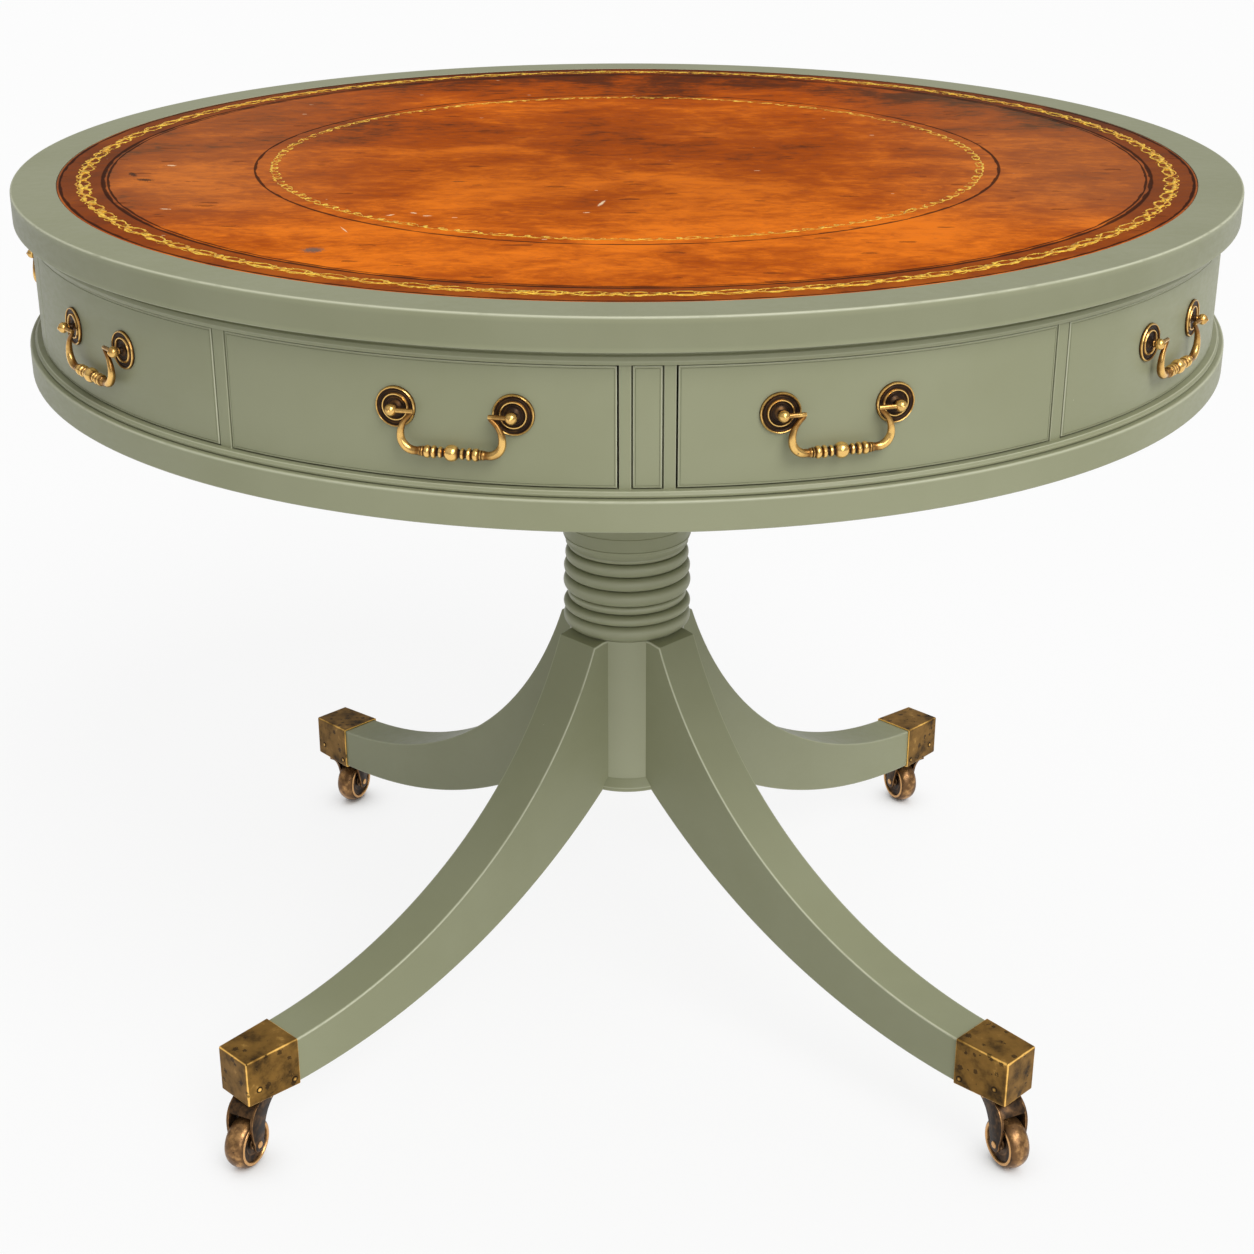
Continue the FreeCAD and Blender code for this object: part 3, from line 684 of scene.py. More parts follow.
def fleck_group() -> bpy.types.NodeTree:
    """Small scattered flecks: nicks in paint, spots on brass, scuffs on leather.

    Returns:
        The group.
    """
    group = MaskGroup("flecks", scale=60.0, stretch=1.0, size=0.08, share=0.3)
    scale = group.value("scale")
    stretch = group.wire("ShaderNodeCombineXYZ", {0: group.value("stretch"), 1: 1.0, 2: 1.0})
    place = group.wire("ShaderNodeVectorMath", {0: group.place(), 1: stretch}, operation="MULTIPLY")
    distance, colour = group.wires("ShaderNodeTexVoronoi", {"Vector": place, "Scale": scale})[:2]
    pick, pick_size, _ = group.wires("ShaderNodeSeparateColor", {0: colour})
    size = group.value("size") * pick_size
    ragged = (group.noise(place, scale * 7.0, 2.0, 0.5) - 0.5) * size
    near = (ragged * 2.0 + distance) < size
    return group.finish((pick < group.value("share")) * near)


def tooled_line_group() -> bpy.types.NodeTree:
    """A dark line tooled round the leather at one radius, a little uneven.

    Returns:
        The group.
    """
    group = MaskGroup("tooled_line", radius=0.4, half_width=0.001)
    place = group.place()
    cloud = group.noise(place, 38.0, 3.0, 0.5)
    stray = (cloud - 0.5) * 0.0022
    away = (group.from_axis(place) + stray - group.value("radius")).math("ABSOLUTE")
    width = group.value("half_width") * cloud.span(0.3, 0.65, 0.55, 1.25)
    return group.finish((away / width).span(1.25, 0.6))


def mark_group() -> bpy.types.NodeTree:
    """One small lengthwise mark on the table's top: a nick, a smear or a scratch.

    Returns:
        The group.
    """
    group = MaskGroup("mark", x=0.0, y=0.0, length=0.01, width=0.002, turn=0.0)
    place = group.place()
    centre = group.wire("ShaderNodeCombineXYZ", {0: group.value("x"), 1: group.value("y")})
    away = group.wire("ShaderNodeVectorMath", {0: place, 1: centre}, operation="SUBTRACT")
    aligned = group.wire("ShaderNodeVectorRotate", {
        "Vector": away, "Angle": group.value("turn") * -1.0}, rotation_type="Z_AXIS")
    along, across, _ = group.wires("ShaderNodeSeparateXYZ", {0: aligned})
    along, across = along / group.value("length"), across / group.value("width")
    reach = (along * along + across * across).math("SQRT")
    ragged = group.noise(place, 620.0, 4.0, 0.7)
    return group.finish((reach + ragged * 1.3).span(1.2, 0.9))


class Groups:
    """The node groups that several finishes share."""

    def __init__(self) -> None:
        """Builds each group once."""
        self.wear_and_highlight = wear_and_highlight_group()
        self.flecks = fleck_group()
        self.tooled_line = tooled_line_group()
        self.mark = mark_group()


class Surface(ShaderTree):
    """A material's tree round one Principled shader."""

    def __init__(self, name: str) -> None:
        """Starts the material.

        Args:
            name: The material's name.
        """
        self.material = bpy.data.materials.new(name)
        self.material.use_nodes = True
        super().__init__(self.material.node_tree)
        self.shader = self.add("ShaderNodeBsdfPrincipled")
        self.add("ShaderNodeOutputMaterial", {0: Wire(self, self.shader.outputs[0])})

    def finish(self, colour: Wire, roughness: Wire, relief: Wire, depth: float, specular: float = 0.5,
               metallic: float = 0.0) -> bpy.types.Material:
        """Joins the shader to what a finish worked out.

        Args:
            colour: The base colour.
            roughness: The roughness.
            relief: The height of its relief.
            depth: The real depth of that relief in metres.
            specular: The strength of its reflections.
            metallic: How metallic it is.

        Returns:
            The material.
        """
        normal = self.wire("ShaderNodeBump", {"Height": relief, "Distance": depth})
        for name, wire in (("Base Color", colour), ("Roughness", roughness), ("Normal", normal)):
            self.tree.links.new(wire.socket, self.shader.inputs[name])
        self.shader.inputs["Specular IOR Level"].default_value = specular
        self.shader.inputs["Metallic"].default_value = metallic
        return self.material


@dataclass(frozen=True)
class PaintFinish:
    """Satin grey-green paint, paler where its edges are worn and where highlights are painted, darker where
    shade is painted in its grooves and on the rim's face.
    """

    body: Colour = (145, 147, 118)
    shade: Colour = (140, 142, 112)
    # The pale colour of worn edges and of painted highlights.
    edge: Colour = (212, 213, 188)
    nick: Colour = (206, 205, 178)
    # Colour of the painted shade in grooves, scribed lines and on the rim's face.
    grime: Colour = (58, 58, 42)
    wear_share: float = 0.8

    def build(self, groups: Groups) -> bpy.types.Material:
        """Builds the material.

        Args:
            groups: The shared node groups.

        Returns:
            The material.
        """
        surface = Surface("grey_green_paint")
        colour = surface.noise(surface.coordinates(), 7.0, 4.0).span(0.35, 0.68).mix(self.body, self.shade)
        # Pale mix: worn edges together with painted highlights on arrises and ring crowns, and painted
        # light on the column's post.
        colour = (surface.grouped(groups.wear_and_highlight) * self.wear_share).mix(colour, self.edge)
        # Wear below zero mixes in the painted shade.
        colour = surface.wear().math("MULTIPLY", -1.0, clamp=True).mix(colour, self.grime)
        colour = surface.grouped(groups.flecks, scale=40.0, size=0.025, share=0.09).mix(colour, self.nick)
        brushed = surface.noise(surface.coordinates((1, 1, 3)), 110.0, 4.0, 0.6)
        return surface.finish(colour, brushed.span(0.3, 0.7, 0.4, 0.48), brushed, 0.00002, specular=0.32)


@dataclass(frozen=True)
class Mark:
    """A mark on the leather: its place and half sizes in metres, its turn in degrees."""

    x: float
    y: float
    length: float
    width: float
    turn: float

    def mask(self, surface: Surface, groups: Groups) -> Wire:
        """Where this mark lies on a surface."""
        return surface.grouped(groups.mark, **(asdict(self) | {"turn": math.radians(self.turn)}))


@dataclass(frozen=True)
class LeatherFinish:
    """Old tan leather: cloudy golden orange, brown near its border, darker towards the back as painted
    shade and greyed at its left and right sides as painted sheen.
    """

    light: Colour = (232, 121, 28)
    middle: Colour = (170, 76, 12)
    dark: Colour = (92, 43, 18)
    border: Colour = (102, 48, 24)
    line: Colour = (36, 19, 13)
    scuff: Colour = (238, 214, 176)
    bloom: Colour = (86, 98, 80)
    smear: Colour = (62, 46, 36)
    grey: Colour = (104, 92, 84)
    border_share: float = 0.6
    fleck_share: float = 0.55
    line_share: float = 0.85
    tooled_lines: tuple[tuple[float, float], ...] = (
        (0.4503, 0.0013), (0.4178, 0.0017), (0.4140, 0.0010), (0.3000, 0.0013))
    pale_marks: tuple[Mark, ...] = (
        Mark(-0.3665, -0.0303, 0.0085, 0.0042, -15), Mark(-0.3398, -0.1890, 0.0080, 0.0026, -12),
        Mark(-0.1722, -0.2090, 0.0070, 0.0030, 35), Mark(-0.1560, -0.2020, 0.0065, 0.0030, -35),
        Mark(-0.1452, -0.2113, 0.0070, 0.0030, 5), Mark(-0.0190, -0.1700, 0.0210, 0.0030, 76),
        Mark(-0.0292, -0.2006, 0.0055, 0.0024, 20), Mark(-0.2000, -0.2560, 0.0190, 0.0012, -68))
    dark_marks: tuple[Mark, ...] = (
        Mark(-0.3900, -0.0650, 0.0200, 0.0058, -65), Mark(-0.3760, -0.0860, 0.0180, 0.0095, -25),
        Mark(-0.1310, -0.0920, 0.0130, 0.0030, -8))
    grey_marks: tuple[Mark, ...] = (Mark(-0.2142, -0.3159, 0.0160, 0.0160, 30),)

    def clouded(self, surface: Surface, place: Wire, radius: Wire, mottle: Wire) -> Wire:
        """The leather's colour before its lines and marks.

        Args:
            surface: The material's tree.
            place: Object coordinates.
            radius: The distance from the table's axis.
            mottle: The fine mottling, about 0 to 1.

        Returns:
            The colour.
        """
        across, back, _ = surface.wires("ShaderNodeSeparateXYZ", {0: place})
        cloud = surface.noise(place, 6.5, 8.0, 0.6, 0.5)
        patches = surface.noise(surface.coordinates((0.6, 1.0, 1.0)), 26.0, 8.0, 0.68, 0.6)
        # Tone falls towards the back of the top: painted shade.
        tone = cloud * 0.45 + patches * 0.28 + mottle * 0.27 - back * 0.2
        tone = tone - radius.span(0.33, 0.42, 0.0, 0.03)
        colour = tone.span(0.45, 0.63).mix(self.middle, self.light)
        colour = tone.span(0.47, 0.34).mix(colour, self.dark)
        # Grey-green mixed in at the left and right sides, from the middle to the back: painted sheen.
        dull = across.math("ABSOLUTE").span(0.14, 0.36, 0.0, 0.28) * back.span(-0.32, -0.12)
        colour = radius.span(0.3, 0.12, 0.0, 0.2).mix(dull.mix(colour, self.bloom), self.dark)
        band = radius.span(0.4150, 0.4195) - radius.span(0.4508, 0.4520)
        return (band * self.border_share).mix(colour, self.border)

    def build(self, groups: Groups) -> bpy.types.Material:
        """Builds the material.

        Args:
            groups: The shared node groups.

        Returns:
            The material.
        """
        surface = Surface("tan_leather")
        place = surface.coordinates()
        mottle = surface.noise(surface.coordinates((0.5, 1.0, 1.0)), 110.0, 5.0, 0.75, 0.8)
        colour = self.clouded(surface, place, surface.from_axis(place), mottle)
        for scale, stretch, size, share, tint in (
                (60.0, 0.5, 0.07, 0.3, self.scuff), (90.0, 0.35, 0.26, 0.35, self.dark),
                (40.0, 0.25, 0.13, 0.3, self.dark)):
            flecks = surface.grouped(groups.flecks, scale=scale, stretch=stretch, size=size, share=share)
            colour = (flecks * self.fleck_share).mix(colour, tint)
        lines = surface.greatest(
            surface.grouped(groups.tooled_line, radius=radius, half_width=half_width)
            for radius, half_width in self.tooled_lines)
        colour = (lines * self.line_share).mix(colour, self.line)
        for marks, tint in ((self.grey_marks, self.grey), (self.dark_marks, self.smear),
                            (self.pale_marks, self.scuff)):
            marked = surface.greatest(mark.mask(surface, groups) for mark in marks)
            colour = (marked * self.line_share).mix(colour, tint)
        grain = surface.noise(place, 420.0, 3.0, 0.6)
        return surface.finish(colour, mottle.span(0.3, 0.7, 0.5, 0.66), grain * 0.3 - lines, 0.00025,
                              specular=0.01)


@dataclass(frozen=True)
class MetalFinish:
    """An old cast metal: dark in its hollows, bright on what hands have polished."""

    name: str
    dark: Colour
    middle: Colour
    bright: Colour
    roughness: tuple[float, float] = (0.26, 0.46)
    metallic: float = 0.85
    scale: float = 120.0
    tarnish: float = 0.7
    base: float = 0.0
    sheen: float = 0.5
    pit_share: float = 0.18
    pit_size: float = 0.2
    pit_scale: float = 260.0
    pit_depth: float = 0.75

    def build(self, groups: Groups) -> bpy.types.Material:
        """Builds the material.

        Args:
            groups: The shared node groups.

        Returns:
            The material.
        """
        surface = Surface(self.name)
        tarnish = surface.noise(surface.coordinates(), self.scale, 4.0, 0.6)
        uneven = (tarnish - 0.5) * self.tarnish + self.base
        level = surface.wear().math("ADD", uneven, clamp=True)
        colour = level.span(0.0, 0.5).mix(self.dark, self.middle)
        colour = level.span(0.5, 0.95).mix(colour, self.bright)
        pits = surface.grouped(groups.flecks, scale=self.pit_scale, size=self.pit_size,
                               share=self.pit_share)
        colour = (pits * self.pit_depth).mix(colour, self.dark)
        polished, dull = self.roughness
        return surface.finish(colour, level.span(0.2, 0.9, dull, polished), tarnish - pits, 0.00012,
                              specular=self.sheen, metallic=self.metallic)


@dataclass(frozen=True)
class GiltFinish:
    """Gold leaf tooled into the leather."""

    body: Colour = (222, 154, 26)
    light: Colour = (255, 214, 76)

    def build(self) -> bpy.types.Material:
        """Builds the material.

        Returns:
            The material.
        """
        surface = Surface("gold_leaf")
        speckle = surface.noise(surface.coordinates(), 260.0, 3.0, 0.6)
        colour = speckle.span(0.42, 0.62).mix(self.body, self.light)
        return surface.finish(colour, speckle.span(0.3, 0.7, 0.3, 0.5), speckle, 0.00005, specular=0.2,
                              metallic=0.1)


@dataclass(frozen=True)
class BareWoodFinish:
    """Plain oak inside the drum, its grain running from the front to the back of each drawer."""

    light: Colour = (196, 162, 116)
    dark: Colour = (152, 114, 74)
    across: float = 4.0
    upright: float = 9.0

    def build(self) -> bpy.types.Material:
        """Builds the material, its coordinates close-set round the drum and upwards.

        Returns:
            The material.
        """
        surface = Surface("bare_oak")
        x, y, z = surface.wires("ShaderNodeSeparateXYZ", {0: surface.coordinates()})
        place = surface.wire("ShaderNodeCombineXYZ", {
            0: (x * x + y * y).math("SQRT"), 1: x.math("ARCTAN2", y * -1.0) * self.across,
            2: z * self.upright})
        fibres = surface.noise(place, 70.0, 4.0, 0.65)
        tone = surface.noise(place, 9.0, 5.0, 0.6, 0.4) * 0.7 + fibres * 0.3
        return surface.finish(tone.span(0.36, 0.62).mix(self.dark, self.light),
                              fibres.span(0.3, 0.7, 0.6, 0.78), fibres, 0.00012)


class Finishes:
    """Every material of the table, built once."""

    def __init__(self) -> None:
        """Builds the shared groups and the materials."""
        groups = Groups()
        self.gilt = GiltFinish().build()
        self.slots = {
            Slot.PAINT: PaintFinish().build(groups),
            Slot.LEATHER: LeatherFinish().build(groups),
            Slot.BARE_WOOD: BareWoodFinish().build(),
            Slot.HANDLE_BRASS: MetalFinish(
                "handle_brass", (54, 40, 30), (146, 102, 48), (246, 200, 118), (0.2, 0.42)).build(groups),
            Slot.CAP_BRASS: MetalFinish(
                "cap_brass", (48, 35, 19), (134, 99, 46), (255, 200, 106), (0.32, 0.5), metallic=0.3,
                scale=60.0, tarnish=1.3, base=0.36, sheen=0.08, pit_share=0.9, pit_size=0.36,
                pit_scale=120.0).build(groups),
            Slot.CASTOR_BRONZE: MetalFinish(
                "castor_bronze", (42, 31, 22), (116, 84, 52), (216, 164, 104), (0.24, 0.46), metallic=0.75,
                scale=130.0, tarnish=1.1, base=0.12, pit_share=0.3, pit_size=0.24).build(groups),
            Slot.STEEL: MetalFinish(
                "turned_steel", (70, 70, 72), (128, 128, 130), (196, 196, 198)).build(groups)}


class Workshop:
    """Makes objects from meshes, gives each the material of its slot and its body, and hides the CAD nodes
    it stands for.
    """

    def __init__(self) -> None:
        """Builds the finishes and the shared trees."""
        self.finishes = Finishes()
        self.round_repeat = round_repeat_tree()
        self.gilt_line = gilt_line_tree()

    def piece(self, name: str, mesh: bpy.types.Mesh, slot: Slot, body: str, nodes: Sequence[str] = (),
              material: bpy.types.Material | None = None) -> None:
        """Makes one finished piece.

        Args:
            name: The piece's name.
            mesh: Its mesh, in place.
            slot: The slot its finish comes from.
            body: The body it rides on.
            nodes: The CAD nodes it stands for.
            material: Its material; the slot's own when left out.
        """
        mesh.materials.clear()
        mesh.materials.append(material or self.finishes.slots[slot])
        piece = bpy.data.objects.new(name, mesh)
        bpy.context.scene.collection.objects.link(piece)
        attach(piece, body)
        if nodes:
            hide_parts(*nodes)
        LOG.info("%s: %d faces on %s", name, len(mesh.polygons), body)

    def formed(self, name: str, form: Form, slot: Slot, body: str, node: str, crease: float = 32.0) -> None:
        """Makes a piece from a form.

        Args:
            name: The piece's name.
            form: The form, in place.
            slot: The slot its finish comes from.
            body: The body it rides on.
            node: The CAD node it stands for.
            crease: The angle in degrees past which an edge stays sharp.
        """
        self.piece(name, form.mesh(name, crease), slot, body, [node])

    def repeated(self, name: str, form: Form, count: int, start: float, slot: Slot, body: str,
                 node: str) -> None:
        """Makes a piece that repeats a form round the table.

        Args:
            name: The piece's name.
            form: The form at the bearing of +X.
            count: How many there are.
            start: The bearing of the first one.
            slot: The slot its finish comes from.
            body: The body it rides on.
            node: The CAD node it stands for.
        """
        mesh = self.round_repeat.build(name, form.mesh(name), {
            "Count": count, "Start": math.radians(start - 90), "Material": self.finishes.slots[slot]})
        self.piece(name, mesh, slot, body, [node])

    def keep(self, slot: Slot, *nodes: str) -> None:
        """Gives CAD nodes that stay their material.

        Args:
            slot: The slot their finish comes from.
            nodes: The nodes' names.
        """
        for node in nodes:
            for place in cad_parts[node].material_slots:
                place.material = self.finishes.slots[slot]
            LOG.info("%s: kept, dressed in %s", node, slot.value)


@dataclass(frozen=True)
class DrumSizes:
    """Sizes of the drum, in millimetres and degrees."""

    top: float = 760.0
    top_underside: float = 736.7
    opening_top: float = 726.0
    opening_bottom: float = 644.0
    floor_top: float = 639.4
    bottom: float = 618.0
    top_radius: float = 487.95
    frieze_radius: float = 475.5
    rail_inner_radius: float = 442.0
    bead_reach: float = 2.6
    nose_reach: float = 5.8
    floor_radius: float = 485.5
    recess_radius: float = 453.4
    recess_floor: float = 758.1
    leather_radius: float = 453.0
    leather_top: float = 759.7
    turn: float = 1.56
    bays: int = 5
    pilaster_width: float = 36.0
    panel_width: float = 18.4
    panel_thickness: float = 5.0
    panel_groove: float = 1.1
    panel_end_gap: float = 0.8
    stile_width: float = 10.0
    front_side_gap: float = 1.2
    front_end_gap: float = 0.9
    front_edge_thickness: float = 9.0
    backing_width: float = 216.0
    backing_thickness: float = 12.0
    sides: int = 240

    @property
    def pitch(self) -> float:
        """The angle of one bay."""
        return 360.0 / self.bays

    @property
    def front_offset(self) -> float:
        """The angle between a wide pilaster and the middle of a front beside it.

        Returns:
            The angle in degrees.
        """
        wide = math.degrees(math.asin(self.pilaster_width / 2 / self.frieze_radius))
        narrow = math.degrees(math.asin(self.stile_width / 2 / self.frieze_radius))
        return (wide + self.pitch / 2 - narrow) / 2

    def real_bearing(self, bay: int) -> float:
        """The bearing of a real drawer."""
        return self.turn + bay * self.pitch - self.front_offset

    def dummy_bearing(self, bay: int) -> float:
        """The bearing of a dummy front."""
        return self.turn + bay * self.pitch + self.front_offset

    def edge(self, toward_wide: bool) -> tuple[Vector, Vector]:
        """One side edge of a front, seen from above.

        Args:
            toward_wide: Whether it is the edge beside the wide pilaster.

        Returns:
            The outer end of the edge and its direction inwards, for a front on +X.
        """
        angle = math.radians(self.front_offset if toward_wide else self.pitch / 2 - self.front_offset)
        half = self.pilaster_width / 2 if toward_wide else self.stile_width / 2
        offset = half + self.front_side_gap
        reach = math.sqrt(self.frieze_radius ** 2 - offset ** 2)
        outer = Vector((reach * math.cos(angle) + offset * math.sin(angle),
                        reach * math.sin(angle) - offset * math.cos(angle)))
        return outer, Vector((-math.cos(angle), -math.sin(angle)))

    @property
    def front_back(self) -> float:
        """The distance of a front's flat back from the axis."""
        return self.edge(True)[0].x - self.front_edge_thickness


@dataclass(frozen=True)
class EdgeWork:
    """How the edge of a bowed board is finished: a rounded arris, paled by wear and painted highlight, and
    a scribed line inside it, darkened by painted shade.
    """

    rounding: float = 0.75
    scribe_inset: float = 1.35
    scribe_width: float = 0.45
    scribe_depth: float = 0.3
    scribe_slope: float = 0.12
    scribe_shade: float = -0.3
    flat: float = 1.5
    wear: float = 0.9
    steps: int = 4

    def levels(self) -> list[tuple[float, float, float]]:
        """The steps of the edge as (inset, depth, wear), from the side to the face.

        Returns:
            The steps.
        """
        steps = []
        for i in range(self.steps + 1):
            angle = math.pi / 2 * i / self.steps
            steps.append((self.rounding * (1 - math.cos(angle)), self.rounding * (1 - math.sin(angle)),
                          self.wear * math.sin(2 * angle)))
        start, end = self.scribe_inset, self.scribe_inset + self.scribe_width
        steps += [(self.rounding + 0.15, 0.0, 0.0),
                  (start, 0.0, 0.0),
                  (start + self.scribe_slope, self.scribe_depth, self.scribe_shade),
                  (end - self.scribe_slope, self.scribe_depth, self.scribe_shade),
                  (end, 0.0, 0.0),
                  (end + self.flat, 0.0, 0.0)]
        return steps


@dataclass
class Drum:
    """The drum: top, rails, floor, pilasters, stiles and dummy fronts."""

    shop: Workshop
    size: DrumSizes = field(default_factory=DrumSizes)
    edge: EdgeWork = field(default_factory=EdgeWork)
    across_steps: int = 40
    upright_steps: int = 6
    body: str = "drum"

    def top(self) -> None:
        """The top board with its painted rim and the recess for the leather."""
        s = self.size
        outline = rounded([
            Corner(0, s.top_underside),
            Corner(s.top_radius, s.top_underside, 1.2, 0.4),
            # The rim's face is darkened evenly between these two stations: painted shade; its upper arris
            # is paled by wear and painted highlight.
            Corner(s.top_radius, s.top_underside + 4.0, 0.0, -0.13),
            Corner(s.top_radius, s.top - 5.0, 0.0, -0.13),
            Corner(s.top_radius, s.top, 1.9, 1.0),
            Corner(s.recess_radius, s.top, 0.4, 0.3),
            Corner(s.recess_radius, s.recess_floor),
            Corner(0, s.recess_floor)], steps=5)
        self.shop.formed("top_board_turned", turned(outline, s.sides), Slot.PAINT, self.body, "top_board")

    def rails(self) -> None:
        """The rail under the top, the beaded rail under the fronts and the floor's thick rim."""
        s = self.size
        bead = s.frieze_radius + s.bead_reach
        top = rounded([
            Corner(s.rail_inner_radius, s.opening_top),
            Corner(bead - 0.9, s.opening_top, 0.5),
            Corner(bead, s.opening_top + 2.6, 2.2, 0.3),
            Corner(bead - 0.6, s.opening_top + 5.4, 1.6, 0.3),
            Corner(s.frieze_radius + 0.5, s.opening_top + 6.6, 0.8),
            Corner(s.frieze_radius, s.top_underside),
            Corner(s.rail_inner_radius, s.top_underside)], closed=True)
        nose = s.frieze_radius + s.nose_reach
        bottom = rounded([
            Corner(s.rail_inner_radius, s.floor_top),
            Corner(nose - 1.7, s.floor_top, 0.4),
            Corner(nose - 0.1, s.floor_top + 0.9, 1.0),
            Corner(nose, s.floor_top + 2.6, 1.0, 0.3),
            Corner(nose - 1.4, s.opening_bottom, 1.5, 0.7),
            Corner(s.rail_inner_radius, s.opening_bottom)], closed=True)
        base = rounded([
            Corner(0, s.bottom),
            Corner(s.floor_radius, s.bottom, 1.2, 0.3),
            Corner(s.floor_radius, s.floor_top, 2.0, 0.8),
            Corner(0, s.floor_top)], steps=5)
        for name, outline, closed, node in (
                ("top_rail_moulded", top, True, "top_rail"),
                ("bottom_rail_beaded", bottom, True, "bottom_rail"),
                ("drum_floor_turned", base, False, "drum_floor")):
            self.shop.formed(name, turned(outline, s.sides, closed), Slot.PAINT, self.body, node)

    def bowed(self, low: float, high: float, ends: tuple[Vector, Vector],
              inward: tuple[Vector, Vector], back: float) -> Form:
        """A board with a bowed face, a flat back and worked edges, on +X.

        Args:
            low: Its lower height.
            high: Its upper height.
            ends: The outer ends of its two side edges, seen from above.
            inward: The directions of its two sides, from the face inwards.
            back: The distance of its flat back from the drum's axis.

        Returns:
            The form.
        """
        radius = self.size.frieze_radius
        angles = [math.atan2(end.y, end.x) for end in ends]
        width = radius * (angles[1] - angles[0])
        form = Form()

        def point(share: float, z: float, depth: float | None) -> Vector:
            """A point of the board: its share of the width, its height and its depth behind the face.

            Args:
                share: The share of the width, from one side edge to the other.
                z: The height.
                depth: The depth; as deep as the flat back when left out.

            Returns:
                The point.
            """
            angle = angles[0] + (angles[1] - angles[0]) * share
            face = Vector((radius * math.cos(angle), radius * math.sin(angle)))
            direction = inward[0].lerp(inward[1], share).normalized()
            if depth is None:
                depth = (face.x - back) / -direction.x
            place = face + direction * depth
            return Vector((place.x, place.y, z))

        def grid(inset: float, depth: float | None) -> list[list[Vector]]:
            """Rows of points over the board, at an inset from its edges.

            Args:
                inset: The distance from the edges.
                depth: The depth behind the face; as deep as the flat back when left out.

            Returns:
                The rows, from the lowest to the highest.
            """
            first, last = inset / width, 1 - inset / width
            z0, z1 = low + inset, high - inset
            shares = [first + (last - first) * i / self.across_steps for i in range(self.across_steps + 1)]
            heights = [z0 + (z1 - z0) * i / self.upright_steps for i in range(self.upright_steps + 1)]
            return [[point(share, z, depth) for share in shares] for z in heights]

        *levels, face = self.edge.levels()
        rings = []
        for inset, depth, wear in ((0.0, None, 0.0), (0.0, self.edge.rounding + 0.4, 0.0), *levels):
            points = self.rim(grid(inset, depth))
            rings.append(form.ring(points, [wear] * len(points)))
        rows = [form.ring(row, [face[2]] * len(row)) for row in grid(*face[:2])]
        rings.append(self.rim(rows))
        for outer, inner in zip(rings, rings[1:]):
            form.bridge(outer, inner)
        for lower, upper in zip(rows, rows[1:]):
            form.bridge(lower, upper, closed=False)
        form.faces.append(tuple(rings[0]))
        return form

    @staticmethod
    def rim(rows: list[list[Any]]) -> list[Any]:
        """What lies round the edge of a grid's rows, anticlockwise from its first point.

        Args:
            rows: The grid's rows, from the lowest to the highest.

        Returns:
            The edge.
        """
        right = [row[-1] for row in rows[:-1]]
        left = [row[0] for row in rows[:0:-1]]
        return rows[0][:-1] + right + rows[-1][:0:-1] + left

    def front(self, mirrored: bool) -> Form:
        """A drawer front or dummy front on +X; mirrored puts the wide pilaster on its other side.

        Args:
            mirrored: Whether it is a dummy front.

        Returns:
            The form.
        """
        s = self.size
        flip = Matrix.Diagonal((1, -1))
        sides = ([flip @ part for part in s.edge(mirrored)], s.edge(not mirrored))
        ends, inward = zip(*sides)
        return self.bowed(s.opening_bottom + s.front_end_gap, s.opening_top - s.front_end_gap,
                          ends, inward, s.front_back)

    def arched(self, half: float, start: float, steps: int = 5) -> list[Corner]:
        """The bowed outer edge of a post, seen from above, from one side to the other.

        Args:
            half: Where it ends across the post.
            start: Where it starts.
            steps: How many steps it has.

        Returns:
            Its corners.
        """
        radius = self.size.frieze_radius
        corners = []
        for i in range(steps + 1):
            y = start + (half - start) * i / steps
            edge = i in (0, steps)
            corners.append(Corner(math.sqrt(radius ** 2 - y ** 2), y, 0.6 if edge else 0.0,
                                  0.6 if edge else 0.0))
        return corners

    def upright(self, corners: Sequence[Corner]) -> Form:
        """A post that stands between the rails, from its corners seen from above."""
        return drawn(rounded(corners, closed=True, guard=0.3), self.size.opening_bottom,
                     self.size.opening_top)

    def fixed(self, name: str, form: Form, bearing: float, node: str) -> None:
        """Makes a painted piece that stands once in every bay, the first at a bearing."""
        self.shop.repeated(name, form, self.size.bays, bearing, Slot.PAINT, self.body, node)

    def posts(self) -> None:
        """The wide pilasters with their panels, and the narrow stiles."""
        s = self.size
        half = s.pilaster_width / 2
        groove = s.panel_width / 2 + s.panel_groove
        floor = s.frieze_radius - s.panel_thickness
        wide = [Corner(s.rail_inner_radius, half), Corner(s.rail_inner_radius, -half)]
        wide += self.arched(-groove, -half)
        wide += [Corner(floor, -groove), Corner(floor, groove)]
        wide += self.arched(half, groove)
        self.fixed("wide_pilasters_worked", self.upright(wide), s.turn, "wide_pilasters")
        half = s.stile_width / 2
        narrow = [Corner(s.rail_inner_radius, half), Corner(s.rail_inner_radius, -half)]
        narrow += self.arched(half, -half)
        self.fixed("narrow_stiles_worked", self.upright(narrow), s.turn + s.pitch / 2, "narrow_stiles")
        half = s.panel_width / 2
        outer = math.sqrt(s.frieze_radius ** 2 - half ** 2)
        inward = Vector((-1, 0))
        panel = self.bowed(s.opening_bottom + s.panel_end_gap, s.opening_top - s.panel_end_gap,
                           (Vector((outer, -half)), Vector((outer, half))), (inward, inward), floor)
        self.fixed("pilaster_panels_worked", panel, s.turn, "pilaster_panels")

    def dummy_fronts(self) -> None:
        """The five fixed fronts."""
        s = self.size
        inner, half = s.front_back - s.backing_thickness, s.backing_width / 2
        backing = [Station(x, y) for x, y in (
            (inner, -half), (s.front_back, -half), (s.front_back, half), (inner, half))]
        form = self.front(True).add(drawn(backing, s.opening_bottom, s.opening_top))
        self.fixed("dummy_fronts_bowed", form, s.dummy_bearing(0), "dummy_fronts")

